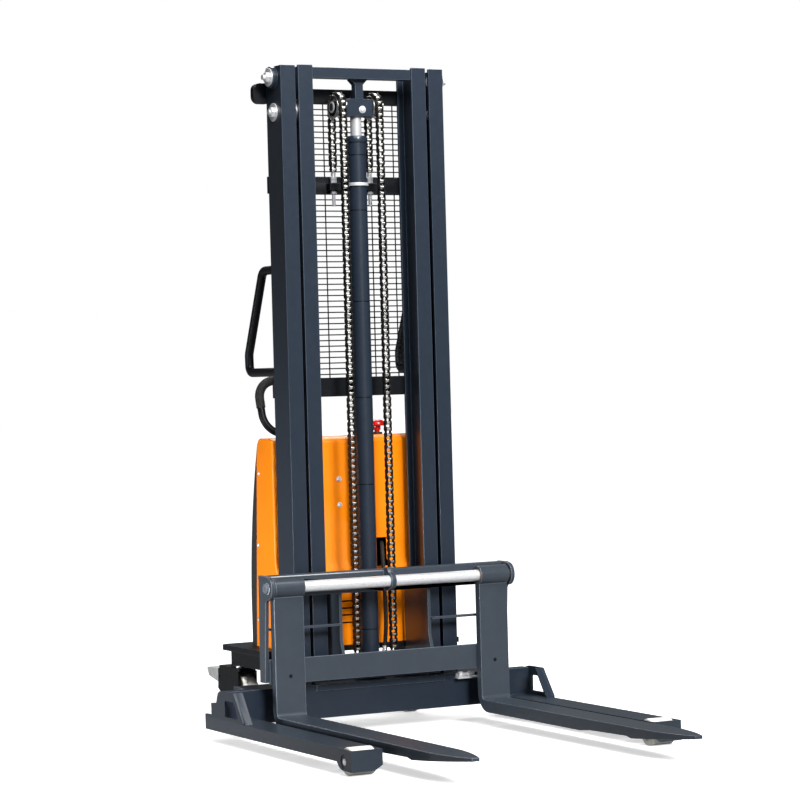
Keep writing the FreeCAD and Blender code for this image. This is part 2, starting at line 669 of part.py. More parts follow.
def carriage():
    inside = d.plate_outer - d.plate_thick
    bar = prism("top_bar", "YZ", [
        (depth(-57.5), d.bar_bottom), (depth(-57.5), d.bar_top), (depth(-69.5), d.bar_top),
        (depth(-69.5), d.bar_bottom)], (-inside, inside), rounds=[(9, [2])])
    node(fuse("carriage_top_bar", [bar, shaft_bracket()]))
    node(box("carriage_lower_bar", (-inside, inside), (depth(-83), depth(-71)),
             (d.lower_bar_bottom, d.lower_bar_top)))
    node(group("carriage_end_plates", [carriage_end_plate(sign) for sign in SIDES.values()]))
    plates = []
    for sign in SIDES.values():
        near = d.roller_plate_line + 4
        plates.append(box("rung", span(sign * near, sign * inside), (depth(-71), depth(-50)),
                          (343, 350)))
        faces = span(sign * (d.roller_plate_line - 5), sign * (d.roller_plate_line + 5))
        plates.append(prism("roller_plate", "YZ", [
            (depth(-57.5), d.bar_top), (depth(100), d.bar_top - 14),
            (depth(100), d.lower_bar_bottom + 15), (depth(-71), d.lower_bar_bottom + 15),
            (depth(-71), d.lower_bar_top), (depth(-57.5), d.lower_bar_top + 40)], faces))
        for height in (d.carriage_roller_low, d.carriage_roller_high):
            plates.append(rod("carriage_stub", "x", d.stub_radius,
                              span(sign * (d.roller_plate_line + 4), sign * 190),
                              depth(d.mast_depth / 2), height))
    edge = d.roller_plate_line - 5
    plates.append(box("anchor_bar", (-edge, edge), (depth(4), depth(24)),
                      (d.chain_front_end - 26, d.chain_front_end)))
    node(fuse("carriage_roller_frame", plates))


def carriage_rollers(name, height):
    """Both rollers of one axis line; each runs in the inner mast's inner channel."""
    half, across = 10.5, 180
    outline = ring_outline(half, d.roller_radius, d.stub_radius + d.run_gap, 3)
    node(group(name, [turned("carriage_roller", outline, "x", sign * across,
                             depth(d.mast_depth / 2), height) for sign in SIDES.values()]))


def shaft_bracket():
    """Nosed plate that holds the fork shaft at its middle."""
    line, height = depth(-d.shaft_line), d.shaft_height
    nose = 27
    plate = prism("centre_plate", "YZ", [
        (depth(-69), d.bar_bottom), (depth(-69), d.bar_top + 4), (line + 4, d.bar_top + 4),
        (line, height + nose), (line - nose, height, line, height - nose)], (-8, 8))
    bore = rod("centre_bore", "x", d.shaft_radius, (-10, 10), line, height)
    return cut("centre_bored", plate, bore)


def fork_shaft():
    """Chrome shaft across the carriage, closed by a bolt head at each end."""
    line, height = depth(-d.shaft_line), d.shaft_height
    end = d.plate_outer
    shaft = rod("shaft_bar", "x", d.shaft_radius, (-end, end), line, height)
    heads = [rod("shaft_bolt", "x", d.shaft_head_radius, span(sign * end, sign * (end + 8)), line,
                 height) for sign in SIDES.values()]
    node(fuse("fork_shaft", [shaft, *heads]))


def fork(side, sign):
    """Fork hung by its eye: shank, round heel, and a blade that thins to a narrow tip."""
    line, height = depth(-d.shaft_line), d.shaft_height
    front, back = depth(-d.fork_front), depth(d.fork_thick - d.fork_front)
    tip = depth(-d.fork_tip)
    centre = sign * d.fork_spacing
    half = d.fork_width / 2
    faces = (centre - half, centre + half)
    corner = d.heel_radius * (1 - math.cos(math.radians(45)))
    heel = d.fork_top - d.blade_thick
    profile = prism("fork_profile", "YZ", [
        (back, height), (back, heel + d.heel_radius),
        (back - corner, heel + corner, back - d.heel_radius, heel),
        (depth(-700), heel), (depth(-760), heel + 6), (depth(-960), heel + 10),
        (depth(-985), heel + 5), (tip, d.fork_top - d.tip_thick), (tip, d.fork_top),
        (front, d.fork_top), (front, height)], faces, rounds=[(14, [9])])
    eye = rod("fork_eye", "x", d.eye_radius, faces, line, height)
    taper = []
    for edge in (1, -1):
        side_line = centre + edge * half
        outward = side_line + edge * 5
        taper.append(prism("tip_taper", "XY", [
            (side_line, depth(-1010)),
            (centre + edge * 38, depth(-1175), centre + edge * 11, tip - 2),
            (outward, tip - 2), (outward, depth(-1010))], (d.fork_top - 60, d.fork_top + 5)))
    sleeve_radius = d.shaft_radius + d.sleeve_wall
    through = (centre - 80, centre + 80)
    bore = rod("eye_bore", "x", sleeve_radius + d.run_gap, through, line, height)
    node(cut(f"fork_{side}", fuse("fork_solid", [profile, eye]), *taper, bore))
    sleeve = rod("sleeve_out", "x", sleeve_radius, faces, line, height)
    opening = rod("sleeve_bore", "x", d.shaft_radius + d.run_gap, through, line, height)
    node(cut(f"fork_sleeve_{side}", sleeve, opening))


# ---------------------------------------------------------------- deck, casters, power pack
def deck():
    """Deck plate with the two hinge lugs of the tiller."""
    plate = prism("deck_sheet", "XY", [
        (-d.deck_half, depth(110)), (d.deck_half, depth(110)), (d.deck_half, depth(d.deck_rear)),
        (-d.deck_half, depth(d.deck_rear))], (d.deck_bottom, d.deck_top), rounds=[(30, [2, 3])])
    pivot, height = depth(d.tiller_pivot_line), d.tiller_pivot_height
    pieces = [plate]
    for sign in SIDES.values():
        faces = span(sign * 32, sign * 42)
        pieces.append(prism("tiller_lug", "YZ", [
            (pivot - 26, d.deck_top), (pivot + 26, d.deck_top), (pivot + 20, height),
            (pivot, height + 20, pivot - 20, height)], faces))
    pin = rod("tiller_pin", "x", 9, (-46, 46), pivot, height)
    node(fuse("deck", [*pieces, pin]))


def caster_mount(sign):
    """Block and rail under the deck, with the swivel's race plate and king pin."""
    x = sign * d.caster_line
    swivel = depth(d.swivel_line)
    standing = (d.mount_bottom, d.deck_bottom)
    block_front, rail_rear = depth(d.mast_depth + 70), depth(300)
    block = box("mount_block", (x - 30, x + 30), (block_front, swivel + 6), standing)
    rail = box("mount_rail", span(sign * 236, sign * d.mast_half),
               (depth(d.mast_depth), rail_rear), standing)
    race = rod("race_plate", "z", 32, x, swivel, (d.crown_top + 0.3, d.mount_bottom))
    pin = rod("king_pin", "z", d.king_pin_radius, x, swivel, (170, 190))
    return fuse("caster_mount", [block, rail, race, pin])


def caster_arm(swivel, faces):
    """Side plate of the caster's housing, from the wheel's axle back to the pedal."""
    axle_line, axle_height = swivel - d.caster_trail, d.caster_wheel_radius
    nose = 18
    top = d.crown_bottom + 2
    return prism("fork_arm", "YZ", [
        (swivel - 52, top), (axle_line - nose, axle_height),
        (axle_line, axle_height - nose, axle_line + nose, axle_height), (swivel - 2, 102),
        (swivel + 82, 96), (swivel + 110, 114), (swivel + 106, top)], faces)


def caster(side, sign):
    """Swivel housing with its wheel ahead of the king pin and the brake pedal behind it."""
    x = sign * d.caster_line
    swivel = depth(d.swivel_line)
    axle_line = swivel - d.caster_trail
    axle_height = d.caster_wheel_radius
    half = d.caster_wheel_width / 2
    crown = prism("fork_crown", "XY", [
        (x - half - 10, swivel - 52), (x + half + 10, swivel - 52), (x + half + 10, swivel + 106),
        (x - half - 10, swivel + 106)], (d.crown_bottom, d.crown_top),
        rounds=[(12, [0, 1, 2, 3])])
    king_bore = rod("king_bore", "z", d.king_pin_radius + d.run_gap, x, swivel, (160, 190))
    arms = [caster_arm(swivel, span(x + edge * (half + 5), x + edge * (half + 10)))
            for edge in (1, -1)]
    axle = rod("caster_axle", "x", d.caster_axle_radius, (x - half - 18, x + half + 18),
               axle_line, axle_height)
    pivot_line, pivot_height = swivel + d.pedal_pivot_back, d.pedal_pivot_height
    pin = rod("pedal_pin", "x", d.pedal_pin_radius, (x - half - 12, x + half + 12), pivot_line,
              pivot_height)
    node(fuse(f"caster_fork_{side}", [cut("bored_crown", crown, king_bore), *arms, axle, pin]))
    bore = d.caster_axle_radius + d.run_gap
    hub, rim, shoulder = 26, 62, 76
    node(turned(f"caster_wheel_{side}", [
        (-half, bore), (half, bore), (half, hub), (half - 8, hub + 6), (half - 8, rim),
        (half - 2, rim + 4), (half - 2, shoulder), (half - 8, axle_height),
        (8 - half, axle_height), (2 - half, shoulder), (2 - half, rim + 4), (8 - half, rim),
        (8 - half, hub + 6), (-half, hub)], "x", x, axle_line, axle_height))
    pedal = prism("pedal_blade", "YZ", [
        (swivel + 92, 146), (swivel + 128, 132), (swivel + 198, 146), (swivel + 212, 168),
        (swivel + 206, 174), (swivel + 96, 172)], (x - 26, x + 26))
    pedal_bore = rod("pedal_bore", "x", d.pedal_pin_radius + d.run_gap, (x - 40, x + 40),
                     pivot_line, pivot_height)
    node(cut(f"brake_pedal_{side}", pedal, pedal_bore))


def cover_rear_outline(inset):
    """Side profile of the black rear cover's bulge, pulled in by its wall thickness."""
    rear_foot = depth(d.rear_foot_line) - inset
    return [(rear_foot, 420),
            (depth(305) - inset, 660, depth(254) - inset, d.rear_cover_top - inset)]


def covers():
    """Orange front cover and black rear cover, both open towards each other and below."""
    wall = d.cover_wall
    half = d.cover_half
    front, step = depth(d.cover_front), d.cover_step
    foot, top = d.deck_top, d.cover_top
    shoulder = top - 1.5
    shell = prism("front_shell", "YZ", [
        (front - step, foot), (depth(d.split_foot), foot), (depth(d.split_top), shoulder),
        (front + 26, top), (front, top - 14), (front, d.ledge_high),
        (front - step, d.ledge_low)], (-half, half), rounds=[(16, [3, 4]), (16, [2])])
    hollow = prism("front_hollow", "YZ", [
        (front - step + wall, foot - 5), (depth(300), foot - 5), (depth(262), shoulder - 30),
        (depth(232), shoulder - wall), (front + 26, top - wall), (front + wall, top - wall - 14),
        (front + wall, d.ledge_high), (front - step + wall, d.ledge_low)],
        (wall - half, half - wall))
    cutout = prism("hose_cutout", "XZ", [
        (52, 505), (108, 505), (108, 596), (74, 596), (52, 580)], (front - 30, front + 10))
    vents = [box("vent", (-150, 40), (front - 30, front), (low, low + 5))
             for low in (330, 354, 376, 398)]
    across, line = d.estop_across, depth(d.estop_line)
    collar = rod("estop_collar", "z", 17, across, line, (top - 10, top + 6))
    well = rod("estop_well", "z", 9, across, line, (top - 20, top + 10))
    opened = cut("front_open", shell, hollow, cutout, *vents)
    node(cut("front_cover", fuse("front_collared", [opened, collar]), well))
    rear_foot = depth(d.rear_foot_line)
    rear = prism("rear_shell", "YZ", [
        (rear_foot, foot), *cover_rear_outline(0), (depth(250.6), d.rear_cover_top),
        (depth(289), foot)], (-half, half))
    rear_hollow = prism("rear_hollow", "YZ", [
        (rear_foot - wall, foot - 5), *cover_rear_outline(wall),
        (depth(240), d.rear_cover_top - wall), (depth(280), foot - 5)],
        (wall - half, half - wall))
    node(cut("rear_cover", rear, rear_hollow))


def cover_screws():
    """Zinc screws on the front wall and down both sides."""
    screws = []
    front = depth(d.cover_front)
    for height in (706, 788):
        screws.append(rod("front_screw", "y", 9, -55, (front - 5, front), height))
    for sign in SIDES.values():
        side = sign * d.cover_half
        for line, height in ((240, 811), (258, 584), (266, 347)):
            screws.append(rod("side_screw", "x", 6, span(side, side + sign * 4), depth(line),
                              height))
    node(group("cover_screws", screws))


def console():
    """Control panel on the rear cover's upper slope."""
    node(prism("console_panel", "YZ", [
        (depth(262), 892), (depth(266), 895), (depth(294), 784), (depth(287), 780)], (-140, 140)))


def emergency_switch():
    """Red mushroom button on the cover's top, pushed down to cut the power."""
    across, line = d.estop_across, depth(d.estop_line)
    top = d.cover_top
    stem = rod("estop_stem", "z", 8.8, across, line, (top - 10, top + 14))
    neck = rod("estop_neck", "z", 12.5, across, line, (top + 12, top + 28))
    cap = turned("estop_cap", [(0, 0), (20, 0), (20, 15), (16, 22), (10, 26), (3, 26), (0, 24)],
                 "z", across, line, top + 26)
    node(fuse("emergency_switch", [stem, neck, cap]))


def power_pack():
    """Battery, oil tank, pump motor and valve block under the covers, standing on the deck."""
    floor, tank_top, valve_top = d.deck_top, d.tank_top, d.valve_top
    node(box("battery", (-255, -5), (depth(136), depth(272)), (floor, floor + 215)))
    node(box("hydraulic_tank", (20, 250), (depth(180), depth(270)), (floor, tank_top)))
    node(box("valve_block", (110, 250), (depth(175), depth(265)), (tank_top, valve_top)))
    node(rod("pump_motor", "z", 52, 198, depth(212), (valve_top, valve_top + 190)))
    node(prism("charger", "XZ", [(-240, 540), (-20, 540), (-20, 700), (-240, 700)],
               (depth(160), depth(235)), rounds=[(10, [0, 1, 2, 3])]))


def lift_hose():
    """Pressure hose: up from the valve block, over through the cover, down to the cylinder's elbow."""
    port = (d.hose_port_line, depth(d.cylinder_line), d.hose_port_height)
    route = [(134, depth(208), d.valve_top), (132, depth(206), 528), (125, depth(195), 556),
             (112, depth(174), 574), (98, depth(149), 578), (87, depth(124), 568),
             (79, depth(106), 544), (75, depth(96), 508), (74, depth(90), 456),
             (73, depth(84), 396), (70, depth(76), 338), (62, depth(66), 288), port]
    vectors = [FreeCAD.Vector(*(float(v) for v in point)) for point in route]
    radii = []
    for before, here, after in zip(vectors, vectors[1:], vectors[2:]):
        first, second = here - before, after - here
        turn = first.getAngle(second)
        radii.append(0.45 * min(first.Length, second.Length) / math.tan(turn / 2))
    node(bent_tube("lift_hose", route, radii, d.hose_radius))


# ---------------------------------------------------------------- handles and tiller
def grab_handle(sign):
    """Round tube handle standing out behind the upright's side."""
    x = sign * (d.mast_half - d.handle_radius)
    start = depth(d.mast_depth)
    return bent_tube("grab_handle", [
        (x, start, d.handle_high), (x, depth(200), d.handle_high), (x, depth(d.handle_reach), 1190),
        (x, depth(d.handle_reach - 2), d.handle_low), (x, start, d.handle_low)],
        [34, 34, 24], d.handle_radius)


def tiller_grip(sign, side_line, side_height, top_line, top):
    """Rubber sleeve round one upper bend of the loop, from a point on its side to near its middle."""
    across, end = sign * d.tiller_loop_half, sign * 30
    corner = (across, top_line, top)
    lean = math.atan2(float(top_line - side_line), float(top - side_height))
    sleeves = []
    for radius, extra in ((d.grip_radius, 0), (d.tiller_tube_radius + 0.1, 4)):
        start = (across, side_line - extra * math.sin(lean), side_height - extra * math.cos(lean))
        finish = (end - sign * extra, top_line, top)
        sleeves.append(bent_tube("grip_sleeve", [start, corner, finish], d.loop_high_bend, radius))
    return cut("grip", *sleeves)


def tiller():
    """Arm from the deck's hinge up to a closed loop handle with rubber grips."""
    pivot, height = depth(d.tiller_pivot_line), d.tiller_pivot_height
    top_line, top = depth(d.tiller_top_line), d.tiller_loop_top
    bottom_line, low = depth(d.tiller_top_line - 52), d.tiller_loop_bottom
    half = d.tiller_loop_half
    barrel = rod("arm_barrel", "x", 20, (-31.5, 31.5), pivot, height)
    arm = bent_tube("arm_tube", [
        (0, pivot, height), (0, pivot + 40, height + 130), (0, bottom_line - 30, 820),
        (0, bottom_line, low)], [300, 200], 19)
    head = prism("arm_head", "YZ", [
        (bottom_line - 52, low - 65), (bottom_line + 14, low - 81), (bottom_line + 34, low - 5),
        (bottom_line - 28, low + 11)], (-45, 45), rounds=[(10, [0, 1, 2, 3])])
    bore = rod("arm_bore", "x", 9 + d.run_gap, (-60, 60), pivot, height)
    node(cut("tiller_arm", fuse("arm_solid", [barrel, arm, head]), bore))
    halves = []
    for sign in SIDES.values():
        across = sign * half
        halves.append(bent_tube("loop_half", [
            (0, bottom_line, low), (across, bottom_line, low), (across, top_line, top),
            (0, top_line, top)], [float(d.loop_low_bend), float(d.loop_high_bend)],
            d.tiller_tube_radius))
    node(fuse("tiller_loop", halves))
    side_line, side_height = (bottom_line + top_line) / 2, (low + top) / 2
    node(group("tiller_grips", [tiller_grip(sign, side_line, side_height, top_line, top)
                                for sign in SIDES.values()]))
    lever_line, lever_height = bottom_line + 6, low + 21
    hub = rod("lever_hub", "x", 8, (-22, 22), lever_line, lever_height)
    blade = prism("lever_blade", "YZ", [
        (lever_line - 6, lever_height), (lever_line + 6, lever_height - 2),
        (lever_line + 24, lever_height + 52), (lever_line + 12, lever_height + 55)], (-14, 14))
    node(fuse("lift_lever", [hub, blade]))


# ---------------------------------------------------------------- assembly
base_beam()
for side, sign in SIDES.items():
    straddle_leg(side, sign)
    load_wheel(side, sign)
node(group("load_wheel_axles", [load_axle(sign) for sign in SIDES.values()]))
node(group("leg_brackets", [leg_bracket(sign) for sign in SIDES.values()]))
carriage_stop()

node(group("outer_uprights", [outer_upright(sign) for sign in SIDES.values()]))
node(group("inner_uprights", [inner_upright(sign) for sign in SIDES.values()]))
outer_near = inner_flange_edge() - d.inner_web_offset + 1
node(group("outer_mast_rollers", [
    mast_roller("outer_roller", sign, outer_near, d.outer_roller_height, d.roller_radius)
    for sign in SIDES.values()]))
inner_near = d.mast_half - d.flange_width + 3
node(group("inner_mast_rollers", [
    mast_roller("inner_roller", sign, inner_near, d.inner_roller_height, d.roller_radius + 1)
    for sign in SIDES.values()]))
bolts = []
for sign in SIDES.values():
    boss_face = d.mast_half + d.boss_height
    bolts.append(roller_axle_bolt(sign, d.outer_roller_height, outer_near + 1, d.mast_half,
                                  d.mast_half + 20))
    bolts.append(roller_axle_bolt(sign, d.top_bolt_height, d.mast_half - 24, boss_face,
                                  boss_face + 24))
node(group("roller_axle_bolts", bolts))
outer_ties()
mesh_guard()

lift_cylinder()
piston_rod()
rod_yoke()
inner_cross_members()
for side, sign in SIDES.items():
    chain_sheave(side, sign)
chain_runs()
chain_anchor_rods()

carriage()
carriage_rollers("carriage_rollers_lower", d.carriage_roller_low)
carriage_rollers("carriage_rollers_upper", d.carriage_roller_high)
fork_shaft()
for side, sign in SIDES.items():
    fork(side, sign)

deck()
node(group("caster_mounts", [caster_mount(sign) for sign in SIDES.values()]))
for side, sign in SIDES.items():
    caster(side, sign)
covers()
cover_screws()
console()
emergency_switch()
power_pack()
lift_hose()
node(group("grab_handles", [grab_handle(sign) for sign in SIDES.values()]))
tiller()

doc.recompute()
problems = [item.Label for item in doc.Objects if {"Invalid", "Error"} & set(item.State)]
problems += [item.Label for item in nodes if item.Shape.isNull() or not item.Shape.isValid()
             or not item.Shape.Solids]
if problems:
    raise ValueError(f"these objects failed: {problems}")
for item in nodes:
    item.Shape.exportStep(f"parts/{item.Label}.step")
whole = Part.makeCompound([item.Shape for item in nodes]).BoundBox
print(len(nodes), "nodes; box", [round(v, 2) for v in (whole.XMin, whole.XMax, whole.YMin, whole.YMax,
                                                       whole.ZMin, whole.ZMax)])
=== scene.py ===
"""Looks of the walkie stacker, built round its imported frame. Metres, +Z up, forks along -Y."""
import json
import math

import bmesh
import bpy
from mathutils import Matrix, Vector


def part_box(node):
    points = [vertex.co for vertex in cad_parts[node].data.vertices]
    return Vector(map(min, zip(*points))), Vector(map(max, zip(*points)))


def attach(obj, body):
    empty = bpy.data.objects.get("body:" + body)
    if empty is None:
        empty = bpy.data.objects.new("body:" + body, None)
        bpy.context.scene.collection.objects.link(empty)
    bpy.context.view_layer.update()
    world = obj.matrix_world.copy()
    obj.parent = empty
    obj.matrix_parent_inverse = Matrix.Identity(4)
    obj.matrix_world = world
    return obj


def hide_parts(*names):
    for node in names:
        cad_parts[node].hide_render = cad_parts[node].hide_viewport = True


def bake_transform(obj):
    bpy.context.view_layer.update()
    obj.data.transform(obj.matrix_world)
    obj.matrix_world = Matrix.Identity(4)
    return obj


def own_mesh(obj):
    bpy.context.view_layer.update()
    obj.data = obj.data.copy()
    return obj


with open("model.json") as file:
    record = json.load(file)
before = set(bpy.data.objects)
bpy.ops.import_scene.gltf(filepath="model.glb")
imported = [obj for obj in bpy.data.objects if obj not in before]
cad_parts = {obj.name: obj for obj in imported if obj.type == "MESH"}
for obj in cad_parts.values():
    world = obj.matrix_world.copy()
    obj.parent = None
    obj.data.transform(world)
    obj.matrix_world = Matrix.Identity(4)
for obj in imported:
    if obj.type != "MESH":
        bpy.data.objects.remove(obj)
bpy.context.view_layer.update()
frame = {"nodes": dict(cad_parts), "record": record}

MM = 0.001
SIDES = {"left": -1, "right": 1}
SIGNS = tuple(SIDES.values())
AXES = {"x": Vector((1, 0, 0)), "y": Vector((0, 1, 0)), "z": Vector((0, 0, 1))}

MAST_LOW, MAST_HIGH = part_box("outer_uprights")
BOSS = 14 * MM  # the round bosses' height over the mast's sides
MAST_FRONT, MAST_BACK, MAST_HALF = MAST_LOW.y, MAST_HIGH.y, MAST_HIGH.x - BOSS
LIFT_LINE = MAST_FRONT + 0.057
COVER_FRONT, COVER_TOP = MAST_FRONT + 0.134, 0.925
HANDLE_TUBE, HANDLE_ENDS = 0.014, (1.132, 1.452)


def middle(node):
    low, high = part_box(node)
    return (low + high) / 2


def dial(node, **values):
    """Set a shader node's sockets by name, written with _ for a space."""
    for socket, value in values.items():
        node.inputs[socket.replace("_", " ")].default_value = value


def placed(name, data):
    """An object with this data, linked to the scene."""
    made = bpy.data.objects.new(name, data)
    bpy.context.scene.collection.objects.link(made)
    return made


def gathered(name, mesh):
    """An object made from gathered faces, which are freed."""
    data = bpy.data.meshes.new(name)
    mesh.to_mesh(data)
    mesh.free()
    return placed(name, data)


# ---- camera, lights, floor
def camera():
    """Long lens in front of the forks, left of them and at chest height."""
    data = bpy.data.cameras.new("camera")
    data.lens, data.sensor_width = 125.56, 36
    data.clip_start, data.clip_end = 0.1, 200
    eye = placed("camera", data)
    eye.location = (-3.9607, -7.4994, 1.1144)
    pitch, roll, heading = -0.526, 1.541, -27.51
    eye.rotation_euler = [math.radians(turn) for turn in (90 + pitch, roll, heading)]
    bpy.context.scene.camera = eye


def soft_light(name, place, target, power, width, height, spread=180):
    data = bpy.data.lights.new(name, "AREA")
    data.shape, data.size, data.size_y = "RECTANGLE", width, height
    data.energy = power
    data.spread = math.radians(spread)
    lamp = placed(name, data)
    lamp.location = place
    aim = Vector(target) - Vector(place)
    lamp.rotation_euler = aim.to_track_quat("-Z", "Y").to_euler()


def camera_sees(tree, unseen, seen, output):
    """Show one shader to the camera and let the other one light the scene."""
    path, blend = tree.nodes.new("ShaderNodeLightPath"), tree.nodes.new("ShaderNodeMixShader")
    tree.links.new(path.outputs["Is Camera Ray"], blend.inputs[0])
    tree.links.new(unseen.outputs[0], blend.inputs[1])
    tree.links.new(seen.outputs[0], blend.inputs[2])
    tree.links.new(blend.outputs[0], tree.nodes[output].inputs["Surface"])


def studio():
    """White surroundings that light the machine only faintly, a broad sun and three soft boxes."""
    world = bpy.data.worlds.new("studio")
    world.use_nodes = True
    tree = world.node_tree
    fill = tree.nodes["Background"]
    dial(fill, Color=(0.93, 0.96, 1.0, 1), Strength=0.10)
    seen = tree.nodes.new("ShaderNodeBackground")
    dial(seen, Color=(1, 1, 1, 1))
    camera_sees(tree, fill, seen, "World Output")
    bpy.context.scene.world = world
    bpy.context.scene.view_settings.view_transform = "Standard"
    sun = bpy.data.lights.new("key_sun", "SUN")
    sun.energy, sun.angle = 3.8, math.radians(16)
    key = placed("key_sun", sun)
    key.rotation_euler = Vector((0.0, 1.0, -0.5)).to_track_quat("-Z", "Y").to_euler()
    soft_light("top_box", (-0.2, -1.3, 3.3), (0, -0.2, 0.4), power=85, width=3.0, height=1.4)
    soft_light("back_box", (1.2, 3.4, 4.4), (0, 0.3, 0.8), power=120, width=2.4, height=1.4)
    soft_light("left_box", (-3.4, 0.2, 0.5), (-0.3, 0.4, 0.5), power=6, width=1.2, height=0.6,
               spread=36)
    extent = 60
    mesh = bpy.data.meshes.new("floor")
    corners = [(-extent, -extent, 0), (extent, -extent, 0),
               (extent, extent, 0), (-extent, extent, 0)]
    mesh.from_pydata(corners, [], [(0, 1, 2, 3)])
    floor = placed("floor", mesh)
    mesh.materials.append(floor_finish())


# ---- materials
FINISHES = {}


def ramp(tree, source, low, high):
    node = tree.nodes.new("ShaderNodeValToRGB")
    for stop, colour, place in zip(node.color_ramp.elements, (low, high), (0.3, 0.7)):
        stop.color = (*colour, 1)
        stop.position = place
    tree.links.new(source, node.inputs["Fac"])
    return node.outputs["Color"]


def noise(tree, place, scale, detail):
    node = tree.nodes.new("ShaderNodeTexNoise")
    dial(node, Scale=scale, Detail=detail, Roughness=0.55)
    tree.links.new(place, node.inputs["Vector"])
    return node.outputs["Fac"]


def finish(name, dark, light, grain=25.0, rough=(0.4, 0.5), metal=0.0, coat=0.0, peel=700.0,
           peel_depth=0.05, stretch=(1, 1, 1), cells=0.0, specular=0.5):
    """A procedural surface: mottled colour, uneven gloss and a fine relief.

    stretch squeezes the pattern along an axis for brushing marks; cells adds a grained skin.
    """
    material = bpy.data.materials.new(name)
    material.use_nodes = True
    tree = material.node_tree
    shader = tree.nodes["Principled BSDF"]
    dial(shader, Metallic=metal, Coat_Weight=coat, Coat_Roughness=0.15,
         Specular_IOR_Level=specular)
    source = tree.nodes.new("ShaderNodeTexCoord").outputs["Object"]
    mapping = tree.nodes.new("ShaderNodeMapping")
    dial(mapping, Scale=stretch)
    tree.links.new(source, mapping.inputs["Vector"])
    place = mapping.outputs["Vector"]
    mottle = ramp(tree, noise(tree, place, grain, 6.0), dark, light)
    tree.links.new(mottle, shader.inputs["Base Color"])
    gloss = tree.nodes.new("ShaderNodeMapRange")
    dial(gloss, From_Min=0.3, From_Max=0.7, To_Min=rough[0], To_Max=rough[1])
    tree.links.new(noise(tree, place, grain * 2.7, 4.0), gloss.inputs["Value"])
    tree.links.new(gloss.outputs["Result"], shader.inputs["Roughness"])
    height = noise(tree, place, peel, 2.0)
    if cells:
        skin = tree.nodes.new("ShaderNodeTexVoronoi")
        dial(skin, Scale=cells)
        tree.links.new(source, skin.inputs["Vector"])
        height = skin.outputs["Distance"]
    bump = tree.nodes.new("ShaderNodeBump")
    dial(bump, Strength=peel_depth, Distance=0.0005)
    tree.links.new(height, bump.inputs["Height"])
    tree.links.new(bump.outputs["Normal"], shader.inputs["Normal"])
    FINISHES[name] = material
    return material


def floor_finish():
    """Bright paper that throws little light back onto the machine's sides."""
    material = finish("floor_paint", (0.90, 0.90, 0.90), (0.93, 0.93, 0.93), grain=1.5,
                      rough=(0.9, 0.95), specular=0.0)
    tree = material.node_tree
    bright = tree.nodes["Principled BSDF"]
    dial(bright, Emission_Color=(1, 1, 1, 1), Emission_Strength=0.6)
    dim = tree.nodes.new("ShaderNodeBsdfDiffuse")
    dial(dim, Color=(0.3, 0.3, 0.3, 1))
    camera_sees(tree, dim, bright, "Material Output")
    return material


def shades(colour, spread):
    """A darker and a lighter neighbour of one colour."""
    return [tuple(part * (1 + sign * spread) for part in colour) for sign in (-1, 1)]


def paint(name, colour, rough=(0.28, 0.34), spread=0.05, coat=0.2, specular=0.35, **extra):
    dark, light = shades(colour, spread)
    finish(name, dark, light, rough=rough, specular=specular, coat=coat, peel=420.0,
           peel_depth=0.015, **extra)


SLATE, FORK_SLATE = (0.0145, 0.0220, 0.0350), (0.037, 0.047, 0.061)
BLACK, ORANGE = (0.003, 0.004, 0.006), (0.88, 0.225, 0.001)
paint("frame_paint", SLATE)
# painted highlight: a lighter, glossier copy of the frame paint, laid on the faces of the rounded
# edges
paint("frame_highlight_paint", (0.060, 0.080, 0.110), rough=(0.25, 0.32))
paint("fork_paint", FORK_SLATE)
# painted light: a lighter copy of the slate for the legs, standing in for the light the floor
# throws back on them
paint("leg_paint_lit", (0.026, 0.036, 0.050))
# painted highlight: a lighter fork paint for the rounded edges of the forks, the carriage and the
# legs
paint("fork_highlight_paint", (0.110, 0.130, 0.160), rough=(0.22, 0.3))
paint("black_metal", BLACK, rough=(0.38, 0.46), coat=0.0, specular=0.2)
# painted highlight: a lighter black for the rounded edges of black metal
paint("black_highlight_paint", (0.008, 0.009, 0.011), rough=(0.25, 0.32))
paint("orange_cover", ORANGE, rough=(0.3, 0.38), spread=0.03, coat=0.08, specular=0.25, grain=9.0)
finish("black_plastic", (0.010, 0.010, 0.011), (0.017, 0.017, 0.018), rough=(0.5, 0.6), cells=900.0,
       peel_depth=0.25)
finish("zinc", (0.78, 0.79, 0.81), (0.88, 0.89, 0.90), grain=70.0, rough=(0.3, 0.4), metal=0.6,
       peel=900.0, peel_depth=0.02)
finish("chrome", (0.86, 0.87, 0.89), (0.94, 0.95, 0.96), grain=60.0, rough=(0.26, 0.32), metal=0.55,
       stretch=(0.2, 6, 6), peel_depth=0.005)
finish("rod_chrome", (0.80, 0.81, 0.83), (0.92, 0.93, 0.94), grain=60.0, rough=(0.2, 0.28),
       metal=0.6, stretch=(6, 6, 0.2), peel_depth=0.005)
finish("steel", (0.34, 0.34, 0.36), (0.52, 0.52, 0.54), grain=90.0, rough=(0.28, 0.42), metal=1.0,
       stretch=(1, 4, 4))
finish("chain_plate", (0.006, 0.006, 0.007), (0.018, 0.017, 0.018), grain=220.0, rough=(0.3, 0.5),
       metal=0.6)
finish("chain_roller", (0.86, 0.84, 0.79), (0.95, 0.93, 0.89), grain=120.0, rough=(0.16, 0.3),
       metal=1.0)
finish("bronze", (0.42, 0.24, 0.09), (0.60, 0.38, 0.16), grain=120.0, rough=(0.25, 0.4), metal=1.0)
finish("nylon", (0.84, 0.81, 0.74), (0.88, 0.86, 0.80), grain=20.0, rough=(0.38, 0.5), peel=500.0,
       peel_depth=0.12)
